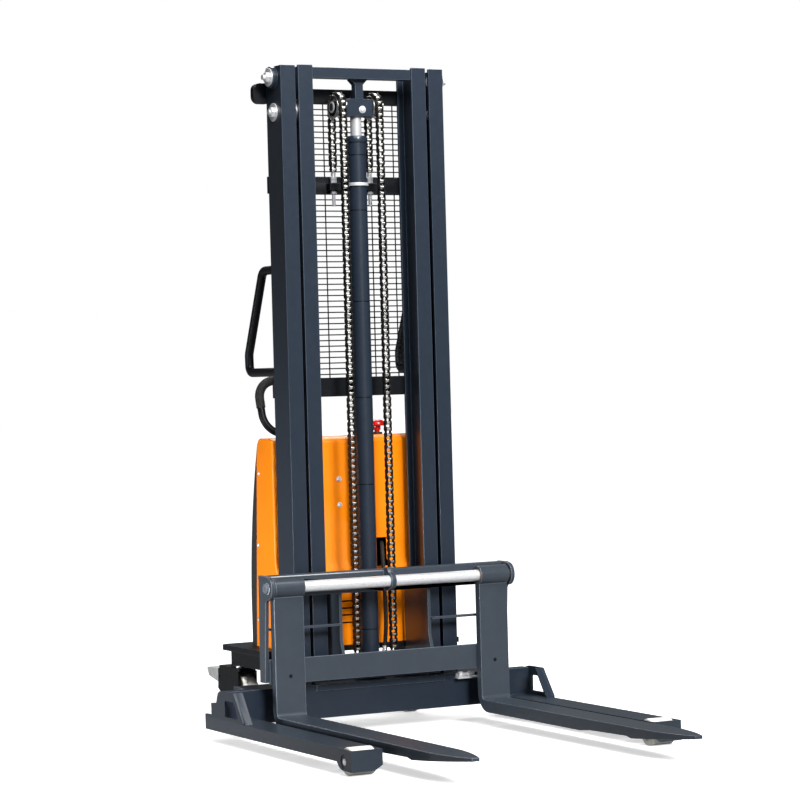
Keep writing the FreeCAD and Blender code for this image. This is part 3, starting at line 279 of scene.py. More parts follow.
finish("rubber", (0.010, 0.010, 0.010), (0.020, 0.019, 0.019), grain=60.0, rough=(0.6, 0.75),
       cells=1300.0, peel_depth=0.35)
finish("red_plastic", (0.42, 0.003, 0.002), (0.50, 0.005, 0.003), grain=40.0, rough=(0.22, 0.3),
       coat=0.3)
finish("battery_case", (0.030, 0.030, 0.034), (0.055, 0.055, 0.060), rough=(0.5, 0.62), cells=700.0,
       peel_depth=0.2)
paint("tank_paint", (0.030, 0.030, 0.034))
finish("pedal_metal", (0.62, 0.63, 0.63), (0.78, 0.79, 0.78), grain=80.0, rough=(0.38, 0.55),
       metal=0.7, cells=600.0, peel_depth=0.3)
finish("weld", (0.017, 0.026, 0.042), (0.028, 0.040, 0.060), grain=200.0, rough=(0.35, 0.5),
       peel=500.0, peel_depth=0.2)
# the lighter paint that each body paint takes on its rounded edges, as a painted highlight
HIGHLIGHT_PAINT_OF = {"frame_paint": "frame_highlight_paint", "fork_paint": "fork_highlight_paint", "black_metal": "black_highlight_paint"}
CHAIN_FINISHES = ["chain_plate", "chain_roller"]


# ---- mesh building
def turn_to(axis):
    """The rotation that lays Z along an axis."""
    return AXES["z"].rotation_difference(AXES[axis]).to_matrix()


def polar(radius, angle, along=0.0):
    return Vector((radius * math.cos(angle), radius * math.sin(angle), along))


def full_turn(steps):
    return [math.tau * step / steps for step in range(steps)]


def half_turn(start):
    return [math.radians(start + 30 * step) for step in range(7)]


def mirrored(profile):
    """A profile of (along, radius) points carried on to its mirror image."""
    return profile + [(-along, radius) for along, radius in profile[::-1]]


def skin_loops(mesh, loops, number=0, closed=False):
    """Faces between rings of points; closed joins the last to the first, else both get caps."""
    rings = [[mesh.verts.new(point) for point in loop] for loop in loops]
    pairs = list(zip(rings, rings[1:]))
    if closed:
        pairs.append((rings[-1], rings[0]))
    for low, high in pairs:
        for here in range(len(low)):
            after = (here + 1) % len(low)
            face = mesh.faces.new((low[here], low[after], high[after], high[here]))
            face.material_index = number
    if not closed:
        for ring in (rings[0][::-1], rings[-1]):
            mesh.faces.new(ring).material_index = number


def turned(mesh, axis, centre, profile, segments=48, number=0, hollow=False):
    """Revolve (along, radius) points about an axis; hollow closes the profile on itself."""
    turn, centre = turn_to(axis), Vector(centre)
    loops = [[centre + turn @ polar(radius, angle, along) for angle in full_turn(segments)]
             for along, radius in profile]
    skin_loops(mesh, loops, number, closed=hollow)


def hexagon(mesh, axis, centre, low, high, flats, dimple=0.0):
    """Hexagonal head or nut with turned corners."""
    turn, centre = turn_to(axis), Vector(centre)
    corner = flats / 2 / math.cos(math.pi / 6)
    bevel = (corner - flats / 2) * 0.6
    outward = 1 if high > low else -1
    loops = []
    steps = [(low, 1.0), (high - outward * bevel, 1.0), (high, 0.88)]
    if dimple:
        steps += [(high, 0.45), (high - outward * dimple, 0.38)]
    for along, share in steps:
        ring = []
        for angle in full_turn(24):
            sector = (angle + math.pi / 6) % (math.pi / 3) - math.pi / 6
            flat = flats / 2 / math.cos(sector)
            radius = min(flat, corner * 0.985) * share if share > 0.5 else corner * share
            ring.append(centre + turn @ polar(radius, angle, along))
        loops.append(ring)
    skin_loops(mesh, loops)


def threaded(mesh, axis, centre, low, high, radius, pitch=1.75 * MM):
    """A threaded bar as close rings of crest and root."""
    count = int((high - low) / pitch)
    root = radius - 0.9 * MM
    profile = []
    for step in range(count):
        start = low + (high - low) * step / count
        profile += [(start, root), (start + pitch * 0.5, radius)]
    turned(mesh, axis, centre, profile + [(high, root)], 20)


def swept(mesh, points, radii, segments=20, number=0):
    """A round tube along points, with one radius or one per point."""
    points = [Vector(point) for point in points]
    side = None
    loops = []
    for here, point in enumerate(points):
        before, after = points[max(here - 1, 0)], points[min(here + 1, len(points) - 1)]
        along = (after - before).normalized()
        if side is None:
            side = along.orthogonal().normalized()
        side = (side - along * side.dot(along)).normalized()
        up = along.cross(side)
        radius = radii[here] if isinstance(radii, list) else radii
        loops.append([point + (side * math.cos(turn) + up * math.sin(turn)) * radius
                      for turn in full_turn(segments)])
    skin_loops(mesh, loops, number)


def rounded(points, bends, steps=10):
    """A path with each inner corner replaced by an arc of its own radius."""
    points = [Vector(point) for point in points]
    path = [points[0]]
    for before, here, after, bend in zip(points, points[1:], points[2:], bends):
        first, second = (before - here).normalized(), (after - here).normalized()
        half = first.angle(second) / 2
        centre = here + (first + second).normalized() * (bend / math.sin(half))
        start = (here + first * (bend / math.tan(half)) - centre).normalized()
        stop = (here + second * (bend / math.tan(half)) - centre).normalized()
        for step in range(steps + 1):
            path.append(centre + start.slerp(stop, step / steps) * bend)
    return path + [points[-1]]


def slab(mesh, low, high):
    """A rectangular bar; its edges are rounded by the piece's bevel."""
    corners = [(low[0], low[1]), (high[0], low[1]), (high[0], high[1]), (low[0], high[1])]
    skin_loops(mesh, [[(x, y, z) for x, y in corners] for z in (low[2], high[2])])


def piece(name, mesh, body, slot, replaces=(), finishes=(), bevel=0.0, sharp=35.0):
    """Turn faces into an object that rides on a body, in its slot's finish or in others."""
    bmesh.ops.recalc_face_normals(mesh, faces=mesh.faces)
    for face in mesh.faces:
        face.smooth = True
    made = gathered(name, mesh)
    made.data.set_sharp_from_angle(angle=math.radians(sharp))
    for key in finishes or [slot]:
        made.data.materials.append(FINISHES[key])
    if bevel:
        round_edges(made, bevel, sharp=sharp)
    if body:
        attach(made, body)
    if replaces:
        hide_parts(*replaces)
    return made


def round_edges(made, width, segments=2, sharp=35.0, material=-1):
    bevel = made.modifiers.new("rounded_edges", "BEVEL")
    bevel.width, bevel.segments = width, segments
    bevel.limit_method, bevel.angle_limit = "ANGLE", math.radians(sharp)
    bevel.harden_normals = True
    bevel.material = material


def body_of(node):
    bodies = frame["record"]["behaviour"]["bodies"]
    return next(body for body, members in bodies.items() if node in members)


def slot_of(node):
    rows = frame["record"]["subparts"]
    return next(row["material_slot"] for row in rows if row["node"] == node)


def worked(node, edge=1.2 * MM, segments=2):
    """The CAD piece with rounded edges, the rounding in a lighter paint: a painted highlight where
    the edges catch the light.
    """
    mesh = bmesh.new()
    mesh.from_mesh(frame["nodes"][node].data)
    touching, flat = 1e-6, math.radians(0.6)
    bmesh.ops.remove_doubles(mesh, verts=mesh.verts, dist=touching)
    bmesh.ops.dissolve_limit(mesh, angle_limit=flat, verts=mesh.verts, edges=mesh.edges)
    for face in mesh.faces:
        face.material_index = 0
    slot = slot_of(node)
    finishes = [slot, HIGHLIGHT_PAINT_OF[slot]] if slot in HIGHLIGHT_PAINT_OF else [slot]
    made = piece(f"{node}_finished", mesh, body_of(node), slot, [node], finishes)
    # the bevel's faces take the last finish, which is the lighter painted-highlight paint where the
    # slot has one
    round_edges(made, edge, segments, material=len(finishes) - 1)
    return made


def painted(node):
    """A CAD piece kept as it is, in the finish of its slot."""
    target = frame["nodes"][node]
    target.data.materials.clear()
    target.data.materials.append(FINISHES[slot_of(node)])


# ---- welds
def bead_radius(step):
    """A weld bead swells at every other step."""
    return 2.2 * MM * (1.0 if step % 2 else 0.82)


def weld_bead(mesh, start, stop, ripple=2.6 * MM):
    """A rippled fillet bead between two points, thinned at its ends."""
    start, stop = Vector(start), Vector(stop)
    steps = 2 * max(4, int((stop - start).length / ripple))
    points = [start.lerp(stop, step / steps) for step in range(steps + 1)]
    radii = [bead_radius(step) * (1.0 if 0 < step < steps else 0.45) for step in range(steps + 1)]
    swept(mesh, points, radii, segments=8)


def weld_ring(mesh, axis, centre, radius):
    """The same bead round a tube that meets a plate."""
    turn, centre = turn_to(axis), Vector(centre)
    rings = []
    for step, angle in enumerate(full_turn(72)):
        section = [polar(bead_radius(step), part) for part in full_turn(8)]
        rings.append([centre + turn @ polar(radius + spot.x, angle, spot.y) for spot in section])
    skin_loops(mesh, rings, closed=True)


def welds():
    """Beads where the plates of the base, the mast and the carriage meet."""
    base = bmesh.new()
    beam_low, beam_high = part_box("base_beam")
    leg_low, leg_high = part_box("straddle_leg_right")
    bracket_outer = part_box("leg_brackets")[1].x
    foot, floor = MAST_LOW.z, leg_high.z
    front = beam_low.y + 0.006
    for sign in SIGNS:
        outer, toe = sign * MAST_HALF, sign * (MAST_HALF - 0.002)
        for y in (MAST_FRONT, MAST_BACK):
            weld_bead(base, (toe, y, foot), (sign * (MAST_HALF - 0.048), y, foot))
        weld_bead(base, (outer, MAST_FRONT, foot), (outer, MAST_BACK, foot))
        inner, edge = sign * (bracket_outer - 0.008), sign * leg_low.x
        weld_bead(base, (inner, MAST_FRONT + 0.033, floor), (inner, beam_high.y - 0.01, floor))
        weld_bead(base, (edge + sign * 0.004, front, floor),
                  (sign * (bracket_outer - 0.07), front, floor))
        weld_bead(base, (edge, front, 0.045), (edge, front, 0.073))
    piece("base_welds", base, "chassis", "frame_paint", finishes=["weld"])
    carriage = bmesh.new()
    bar_low, bar_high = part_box("carriage_lower_bar")
    top_low, top_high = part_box("carriage_top_bar")
    for sign in SIGNS:
        x = sign * (bar_high.x - 0.0005)
        for y in (bar_low.y, bar_high.y):
            weld_bead(carriage, (x, y, bar_low.z + 0.004), (x, y, bar_high.z - 0.004))
        weld_bead(carriage, (x, top_high.y, top_low.z + 0.014), (x, top_high.y, top_high.z - 0.008))
    piece("carriage_welds", carriage, "carriage", "fork_paint", finishes=["weld"])
    mast = bmesh.new()
    ties = ((1.054, 1.106), (1.694, 1.739), (1.979, 2.016))
    for sign in SIGNS:
        x = sign * (MAST_HALF - 0.05)
        for low, high in ties:
            weld_bead(mast, (x, MAST_BACK, low), (x, MAST_BACK, high))
        for height in HANDLE_ENDS:
            weld_ring(mast, "y", (sign * (MAST_HALF - HANDLE_TUBE), MAST_BACK + 0.0005, height),
                      HANDLE_TUBE)
    piece("mast_welds", mast, "chassis", "black_metal")


# ---- mast fittings
def mesh_guard():
    """Screen of round wires, the upright wires welded in front of the level ones."""
    low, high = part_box("mesh_guard")
    wire = 2.0 * MM
    pitch_tall, pitch_wide = 17.8 * MM, 82 * MM
    rows = int((high.z - low.z) / pitch_tall) + 1
    mesh = bmesh.new()

    def bar(start, stop):
        along = (Vector(stop) - Vector(start)).normalized()
        ends = [start, Vector(start) + along * wire * 0.5, Vector(stop) - along * wire * 0.5, stop]
        swept(mesh, ends, [wire * 0.6, wire, wire, wire * 0.6], segments=10)

    for row in range(rows):
        z = low.z + wire + row * pitch_tall
        if z + wire < high.z + 1e-6:
            bar((low.x, high.y - wire, z), (high.x, high.y - wire, z))
    for column in range(-3, 4):
        bar((column * pitch_wide, low.y + wire, low.z), (column * pitch_wide, low.y + wire, high.z))
    piece("mesh_guard_wires", mesh, "chassis", "black_metal", ["mesh_guard"])


def axle_bolts():
    """Washers, nuts and threaded studs on the mast's side faces; the upper pair sits on a boss."""
    y = (MAST_FRONT + MAST_BACK) / 2
    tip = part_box("roller_axle_bolts")[1].x
    mesh = bmesh.new()
    for sign in SIGNS:
        pairs = ((1.938, 0.195, MAST_HALF, MAST_HALF + 20 * MM),
                 (2.046, 0.260, MAST_HALF + BOSS, tip))
        for height, inner, seat, end in pairs:
            centre = (0, y, height)

            def out(distance):
                return sign * (seat + distance * MM)

            washer = [(out(0.2), 0.0275), (out(0.8), 0.0288), (out(3.8), 0.0288),
                      (out(4.8), 0.0276), (out(4.8), 0.0165)]
            turned(mesh, "x", centre, washer, 56)
            hexagon(mesh, "x", centre, out(4.4), out(15), 0.029, dimple=0.9 * MM)
            threaded(mesh, "x", centre, *sorted((out(12), sign * end)), 8.8 * MM)
            turned(mesh, "x", centre, [(sign * inner, 0.0149), (out(0.2), 0.0149)], 40)
    piece("axle_bolts_zinc", mesh, "chassis", "zinc", ["roller_axle_bolts"])


def mast_roller(node):
    """Hardened roller with a crowned rim, a bearing seal and an inner race."""
    low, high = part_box(node)
    centre = (low + high) / 2
    radius = (high.z - low.z) / 2
    mesh = bmesh.new()
    half = 0.0105 if node.startswith("carriage") else 0.0135
    for sign in SIGNS:
        x = sign * (high.x - half)
        place = (x, centre.y, centre.z)
        seal = half - 1.2 * MM
        tyre = [(-half, 0.026), (-half, radius - 3 * MM), (-half + 3 * MM, radius)]
        turned(mesh, "x", place, mirrored(tyre), 64, hollow=True)
        turned(mesh, "x", place, mirrored([(-seal, 0.0205), (-seal, 0.0262)]), 48, 1, hollow=True)
        turned(mesh, "x", place, mirrored([(-half, 0.01505), (-half, 0.0207)]), 48, hollow=True)
    piece(f"{node}_turned", mesh, body_of(node), "steel", [node], ["steel", "black_metal"])


def lift_cylinder():
    """Painted tube with weld seams, a gland nut, a square foot and the hose elbow."""
    low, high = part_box("lift_cylinder")
    radius, seam, depth = 0.030, 1.6 * MM, 0.9 * MM
    axis = (0, LIFT_LINE, 0)
    mesh = bmesh.new()
    profile = [(low.z + 0.03, radius)]
    seams = (0.315, 0.771, 1.045, 1.347, 1.634, 1.808)
    floor = radius - depth
    for height in seams:
        profile += [(height - seam, radius), (height - seam, floor),
                    (height + seam, floor), (height + seam, radius)]
    profile.append((high.z - 0.021, radius))
    turned(mesh, "z", axis, profile, 72)
    for height in seams:
        band = [(-seam, floor - 0.2 * MM), (-seam, floor + 0.1 * MM),
                (seam, floor + 0.1 * MM), (seam, floor - 0.2 * MM)]
        turned(mesh, "z", (0, LIFT_LINE, height), band, 72, 1, hollow=True)
    top = high.z
    gland = [(top - 0.020, 0.0178), (top - 0.020, 0.0325), (top - 0.0185, 0.033),
             (top - 0.0015, 0.033), (top, 0.0318), (top, 0.0215), (top - 0.002, 0.0178)]
    wiper = [(top - 0.003, 0.01765), (top - 0.003, 0.0213), (top, 0.0205), (top, 0.01765)]
    turned(mesh, "z", axis, gland, 72, hollow=True)
    turned(mesh, "z", axis, wiper, 48, 1, hollow=True)
    slab(mesh, (-0.038, LIFT_LINE - 0.031, low.z), (0.038, LIFT_LINE + 0.032, low.z + 0.035))
    port = 0.240
    turned(mesh, "x", (0, LIFT_LINE, port - 0.013),
           [(0.026, 0.009), (0.040, 0.009), (0.040, 0.007), (0.052, 0.007)], 28)
    hexagon(mesh, "z", (0.052, LIFT_LINE, 0), port - 0.022, port, 0.0175)
    piece("lift_cylinder_tube", mesh, "chassis", "frame_paint", ["lift_cylinder"],
          ["frame_paint", "black_metal"], bevel=0.8 * MM, sharp=50)


def piston_rod():
    """Chrome rod on its wider piston."""
    low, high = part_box("piston_rod")
    mesh = bmesh.new()
    head, rod, shoulder = 0.0239, 0.0175, low.z + 0.04
    profile = [(low.z, head), (shoulder, head), (shoulder, rod), (high.z, rod)]
    turned(mesh, "z", (0, LIFT_LINE, 0), profile, 64)
    piece("piston_rod_chrome", mesh, "inner_mast", "chrome", ["piston_rod"], ["rod_chrome"])


def yoke():
    """Painted yoke block with its retaining bolt in front and collars at the axle's ends."""
    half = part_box("rod_yoke")[1].x
    worked("rod_yoke", 1.6 * MM)
    mesh = bmesh.new()
    front = MAST_FRONT + 0.028
    bolt, axle = (0.010, 0, 1.950), (0, LIFT_LINE, 1.958)
    turned(mesh, "y", bolt, [
        (front, 0.0115), (front - 1.6 * MM, 0.0115), (front - 1.6 * MM, 0.009),
        (front - 5.2 * MM, 0.0082), (front - 7.0 * MM, 0.0055)], 28)
    for sign in SIGNS:
        end = sign * (half - 3.6 * MM)
        turned(mesh, "x", axle, [
            (end, 0.0127), (end, 0.0175), (end + sign * 1.2 * MM, 0.018),
            (end + sign * 2.4 * MM, 0.018), (end + sign * 3.2 * MM, 0.0165),
            (end + sign * 3.2 * MM, 0.0127)], 36, hollow=True)
    piece("yoke_bolt", mesh, "inner_mast", "zinc")


def sheave(side):
    """Grooved chain wheel: dark sides, bright rims and a hub ring."""
    node = f"chain_sheave_{side}"
    centre = middle(node)
    mesh = bmesh.new()
    half, groove, root, flange, bore = 0.017, 0.0135, 0.031, 0.0385, 0.01255
    turned(mesh, "x", centre, [
        (-half, bore), (half, bore), (half, 0.019), (half - 1.5 * MM, 0.020),
        (half - 1.5 * MM, 0.029), (half, 0.030), (half, flange - 0.8 * MM)], 64)
    rim = [(half, flange - 0.8 * MM), (half - 0.8 * MM, flange), (groove + 0.4 * MM, flange),
           (groove, flange - 0.5 * MM), (groove, root + 1.5 * MM), (groove - 1.5 * MM, root)]
    turned(mesh, "x", centre, mirrored(rim) + [(-half, 0.030), (half, 0.030)], 64, 1, hollow=True)
    piece(f"{node}_turned", mesh, body_of(node), "chain_steel", [node], CHAIN_FINISHES)


# ---- chains
PITCH = 19.05 * MM


def figure_eight(mesh, first, second, across, near, far):
    """Waisted link plate round two pins, between two distances along the pin direction."""
    along = (second - first).normalized()
    normal = along.cross(across).normalized()
    wide, waist = 8.2 * MM, 6.0 * MM
    outline = []
    for centre, start, direction in ((second, -90, 1), (first, 90, -1)):
        for angle in half_turn(start):
            outline.append(centre + (along * math.cos(angle) + normal * math.sin(angle)) * wide)
        outline.append((first + second) / 2 + normal * (direction * waist))
    rings = [[point + across * offset for point in outline] for offset in (near, far)]
    skin_loops(mesh, rings)


def chain_stretch(mesh, pins, start, end_pins=True):
    """Rollers on pins with link plates between them; start says which link is an inner one.

    Without end_pins the outermost plates hang on the neighbouring stretches' pins.
    """
    across = AXES["x"]
    roller = [(-6.2 * MM, 5.2 * MM), (-5.6 * MM, 5.95 * MM)]
    pin_body = [(-12.6 * MM, 2.4 * MM), (-12.2 * MM, 2.95 * MM)]
    for number, pin in enumerate(pins):
        if end_pins or 0 < number < len(pins) - 1:
            turned(mesh, "x", pin, mirrored(roller), 16, 1)
            turned(mesh, "x", pin, mirrored(pin_body), 10, 0)
        if number + 1 < len(pins):
            inner = (start + number) % 2 == 0
            near, far = (6.4 * MM, 8.7 * MM) if inner else (8.9 * MM, 11.2 * MM)
            for sign in SIGNS:
                figure_eight(mesh, pin, pins[number + 1], across * sign, near, far)


def chains():
    """Roller chains from the rear anchors over the sheaves to the carriage."""
    centre = middle("chain_sheave_right")
    radius, first = 40.5 * MM, 9 * MM
    low_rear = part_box("chain_rear_runs")[0].z
    low_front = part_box("chain_front_runs")[0].z
    rear_length = centre.z - low_rear
    arc_length = math.pi * radius
    total = rear_length + arc_length + centre.z - low_front

    def pin_at(x, distance):
        if distance < rear_length:
            return Vector((x, centre.y + radius, low_rear + distance))
        if distance < rear_length + arc_length:
            around = polar(radius, (distance - rear_length) / radius)
            return Vector((x, centre.y + around.x, centre.z + around.y))
        return Vector((x, centre.y - radius, centre.z - (distance - rear_length - arc_length)))

    count = int((total - 2 * first) / PITCH)
    rear, arch, front = bmesh.new(), bmesh.new(), bmesh.new()
    distances = [first + PITCH * number for number in range(count + 1)]
    over = sum(distance < rear_length for distance in distances)
    down = sum(distance < rear_length + arc_length for distance in distances)
    for sign in SIGNS:
        pins = [pin_at(sign * centre.x, distance) for distance in distances]
        chain_stretch(rear, pins[:over], 0)
        chain_stretch(arch, pins[over - 1:down + 1], over - 1, end_pins=False)
        chain_stretch(front, pins[down:], down)
    piece("chain_over_sheaves", arch, "inner_mast", "chain_steel", finishes=CHAIN_FINISHES)
    rising = piece("chain_rear", rear, None, "chain_steel", ["chain_rear_runs"], CHAIN_FINISHES)
    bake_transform(rising)
    falling = piece("chain_front", front, "carriage", "chain_steel", ["chain_front_runs"],
                    CHAIN_FINISHES)
    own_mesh(falling)


def chain_anchors():
    """Threaded zinc rods through the middle tie with their nuts, and a clevis at the chain."""
    low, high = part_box("chain_anchor_rods")
    chain_x, nuts = 0.064, (1.689, 1.724, 1.734)
    mesh = bmesh.new()
    for sign in SIGNS:
        centre = (sign * chain_x, (low.y + high.y) / 2, 0)
        threaded(mesh, "z", centre, low.z, high.z - 0.02, 6.0 * MM)
        clevis = [(high.z - 0.022, 0.0055), (high.z - 0.020, 0.0075), (high.z, 0.0075)]
        turned(mesh, "z", centre, clevis, 24)
        for base in nuts:
            hexagon(mesh, "z", centre, base, base + 0.009, 0.0185)
    piece("chain_anchor_bolts", mesh, "chassis", "zinc", ["chain_anchor_rods"])


# ---- carriage and forks
def fork_shaft():
    """Chrome bar with a round flat bolt head at each end."""
    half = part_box("fork_shaft")[1].x
    centre = (0, middle("fork_shaft").y, middle("fork_shaft").z)
    plate = half - 8 * MM
    mesh = bmesh.new()
    turned(mesh, "x", centre, mirrored([(-plate, 0.0165), (-plate + 1 * MM, 0.0175)]), 72)
    head = [(plate, 0.0158), (half - 1.5 * MM, 0.0158), (half, 0.0143)]
    for sign in SIGNS:
        turned(mesh, "x", centre, [(sign * along, radius) for along, radius in head], 48, 1)
    # the bolt heads wear the fork's lighter painted-highlight paint
    piece("fork_shaft_chrome", mesh, "carriage", "chrome", ["fork_shaft"], ["chrome", "fork_highlight_paint"])


def carriage_stop():
    """Zinc angle with an adjusting bolt and its lock nut."""
    low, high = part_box("carriage_stop")
    bolt = (0, low.y + 0.012, low.z + 13.5 * MM)
    mesh = bmesh.new()
    slab(mesh, (low.x, low.y, low.z), (high.x, high.y, low.z + 5 * MM))
    slab(mesh, (low.x + 4 * MM, high.y - 4 * MM, low.z), (high.x - 4 * MM, high.y, low.z + 0.016))
    threaded(mesh, "x", bolt, 0.272, 0.318, 5 * MM, pitch=1.5 * MM)
    hexagon(mesh, "x", bolt, 0.284, 0.268, 0.0155, dimple=0.6 * MM)
    hexagon(mesh, "x", bolt, 0.304, 0.311, 0.0155)
    piece("carriage_stop_zinc", mesh, "chassis", "zinc", ["carriage_stop"], bevel=0.5 * MM,
          sharp=60)


def fork_details(side, sign):
    """Setscrew in the shank's face."""
    mesh = bmesh.new()
    shank = MAST_FRONT - 0.112
    rim = shank - 0.5 * MM
    screw = [(shank, 0.0058), (rim, 0.0058), (rim, 0.0034), (shank - 0.1 * MM, 0.003)]
    turned(mesh, "y", (sign * 0.357, 0, 0.205), screw, 24)
    piece(f"fork_plug_{side}", mesh, body_of(f"fork_{side}"), "black_metal")


# ---- wheels
def wheel_rings(mesh, centre, half, radius, bore, crown):
    """Tyre with rounded shoulders on a stepped hub with bearing seals."""
    hub = radius * 0.62
    soft = crown * 0.3
    tyre = [(-half + 1.5 * MM, hub - 1.5 * MM), (-half, hub), (-half, radius - crown),
            (-half + soft, radius - soft), (-half + crown, radius)]
    turned(mesh, "x", centre, mirrored(tyre), 72, hollow=True)
    web = [(-half + 2 * MM, bore + 6 * MM), (-half + 3 * MM, hub)]
    turned(mesh, "x", centre, mirrored(web), 64, hollow=True)
    for sign in SIGNS:
        face = sign * (half - 1 * MM)
        seal, back = face - sign * 0.8 * MM, face - sign * 4 * MM
        turned(mesh, "x", centre, [
            (face, bore), (face, bore + 2.6 * MM), (seal, bore + 3 * MM), (seal, bore + 6.5 * MM),
            (back, bore + 6.5 * MM), (back, bore)], 48, 1, hollow=True)


def load_wheel(side):
    node = f"load_wheel_{side}"
    low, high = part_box(node)
    half, radius = (high.x - low.x) / 2, (high.z - low.z) / 2
    mesh = bmesh.new()
    wheel_rings(mesh, middle(node), half, radius, 10.05 * MM, 4 * MM)
    piece(f"{node}_moulded", mesh, body_of(node), "nylon", [node], ["nylon", "steel"])


def caster_wheel(side):
    """Cream wheel with a bonded tyre: a dark groove parts the tyre from the dished rim."""
    node = f"caster_wheel_{side}"
    low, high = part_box(node)
    half, radius = (high.x - low.x) / 2, (high.z - low.z) / 2
    centre = middle(node)
    mesh = bmesh.new()
    groove = radius - 9 * MM
    tyre = [(half - 1.5 * MM, groove + 0.9 * MM), (half - 0.5 * MM, groove + 1.8 * MM),
            (half - 1.5 * MM, radius - 5 * MM), (half - 4 * MM, radius - 1.4 * MM),
            (half - 8 * MM, radius)]
    inset = half - 3.5 * MM
    rim = [(half - 8 * MM, 0.032), (half - 8 * MM, groove - 8 * MM),
           (half - 2.5 * MM, groove - 3.5 * MM), (half - 2 * MM, groove - 0.9 * MM)]
    band = [(inset, groove - 1.2 * MM), (inset, groove + 1.2 * MM)]
    hub = [(half, 0.0145), (half, 0.0245), (half - 2 * MM, 0.027), (half - 9 * MM, 0.033)]
    for profile, sides, number in ((tyre, 80, 0), (rim, 80, 0), (band, 80, 2), (hub, 64, 0)):
        turned(mesh, "x", centre, mirrored(profile), sides, number, hollow=True)
    for end in SIGNS:
        face = end * (half - 0.6 * MM)
        back = face - end * 5 * MM
        bearing = [(face, 8.05 * MM), (face, 0.0148), (back, 0.0148), (back, 8.05 * MM)]
        turned(mesh, "x", centre, bearing, 40, 1, hollow=True)
    piece(f"{node}_moulded", mesh, body_of(node), "nylon", [node], ["nylon", "steel", "rubber"])


def caster_fittings(side):
    """Axle nuts with their washers, and the mount's bolts."""
    node = f"caster_fork_{side}"
    wheel = middle(f"caster_wheel_{side}")
    mesh = bmesh.new()
    for end in SIGNS:
        face = end * 33 * MM
        hexagon(mesh, "x", wheel, face, face + end * 7.5 * MM, 0.020, dimple=0.6 * MM)
        washer = [(face - end * 0.2 * MM, 0.0135), (face + end * 1.6 * MM, 0.0135)]
        turned(mesh, "x", wheel, washer, 32)
    piece(f"caster_nuts_{side}", mesh, body_of(node), "zinc")
    heads = bmesh.new()
    plate = 0.196
    for end in SIGNS:
        centre = (wheel.x + end * 0.027, wheel.y - 0.012, 0)
        hexagon(heads, "z", centre, plate, plate - 6.5 * MM, 0.014, dimple=0.6 * MM)
        turned(heads, "z", centre, [(plate, 0.0098), (plate - 1.4 * MM, 0.0098)], 28)
    piece(f"caster_mount_bolts_{side}", heads, "chassis", "zinc")


# ---- covers
def arc_through(start, via, stop, steps=14):
    """Points of the circle through three points, in the plane of the outline."""
    (ax, ay), (bx, by), (cx, cy) = start, via, stop
    span = 2 * (ax * (by - cy) + bx * (cy - ay) + cx * (ay - by))
    first, second, third = ax * ax + ay * ay, bx * bx + by * by, cx * cx + cy * cy
    ux = (first * (by - cy) + second * (cy - ay) + third * (ay - by)) / span
    uy = (first * (cx - bx) + second * (ax - cx) + third * (bx - ax)) / span
    radius = math.hypot(ax - ux, ay - uy)
    begin, end = math.atan2(ay - uy, ax - ux), math.atan2(cy - uy, cx - ux)
    turn = (end - begin + math.pi) % math.tau - math.pi
    angles = [begin + turn * step / steps for step in range(1, steps + 1)]
    return [(ux + radius * math.cos(angle), uy + radius * math.sin(angle)) for angle in angles]


def shell(name, outline, half, open_sides, corner, wall, slot, node, cutters=()):
    """Sheet cover from a side profile: outer edges rounded, some sides open, a wall of its own."""
    mesh = bmesh.new()
    rows = []
    for x in (-half, half):
        rows.append([mesh.verts.new((x, y, z)) for y, z in outline])
    count = len(outline)
    removed = []
    for here in range(count):
        after = (here + 1) % count
        face = mesh.faces.new((rows[0][here], rows[0][after], rows[1][after], rows[1][here]))
        if here in open_sides:
            removed.append(face)
    mesh.faces.new(rows[0])
    mesh.faces.new(rows[1][::-1])
    bmesh.ops.recalc_face_normals(mesh, faces=mesh.faces)
    border = {edge for face in removed for edge in face.edges}
    chosen = [edge for edge in mesh.edges if edge not in border
              and edge.calc_face_angle(0) > math.radians(25)]
    bmesh.ops.delete(mesh, geom=removed, context="FACES")
    bmesh.ops.bevel(mesh, geom=chosen, offset=corner, segments=5, profile=0.5, affect="EDGES")
    for face in mesh.faces:
        face.smooth = True
    made = gathered(name, mesh)
    made.data.set_sharp_from_angle(angle=math.radians(40))
    made.data.materials.append(FINISHES[slot])
    thick = made.modifiers.new("wall", "SOLIDIFY")
    thick.thickness, thick.offset = wall, -1
    thick.use_even_offset = True
    for number, cutter in enumerate(cutters):
        carve = made.modifiers.new(f"opening_{number}", "BOOLEAN")
        carve.object, carve.operation, carve.solver = cutter, "DIFFERENCE", "EXACT"
    bpy.context.view_layer.update()
    graph = bpy.context.evaluated_depsgraph_get()
    baked = bpy.data.meshes.new_from_object(made.evaluated_get(graph))
    made.modifiers.clear()
    made.data = baked
    for cutter in cutters:
        bpy.data.objects.remove(cutter)
    round_edges(made, 0.7 * MM, 2, 50)
    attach(made, "chassis")
    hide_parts(node)
    return made


def cutter_from(outline, near, far):
    """A block through the cover's front, from an outline in X and Z."""
    mesh = bmesh.new()
    skin_loops(mesh, [[(x, y, z) for x, z in outline] for y in (near, far)])
    bmesh.ops.recalc_face_normals(mesh, faces=mesh.faces)
    return gathered("cutter", mesh)


def stadium(low_x, high_x, middle_z, radius):
    """Slot outline with round ends."""
    ends = ((high_x - radius, -90), (low_x + radius, 90))
    return [(centre + radius * math.cos(angle), middle_z + radius * math.sin(angle))
            for centre, start in ends for angle in half_turn(start)]


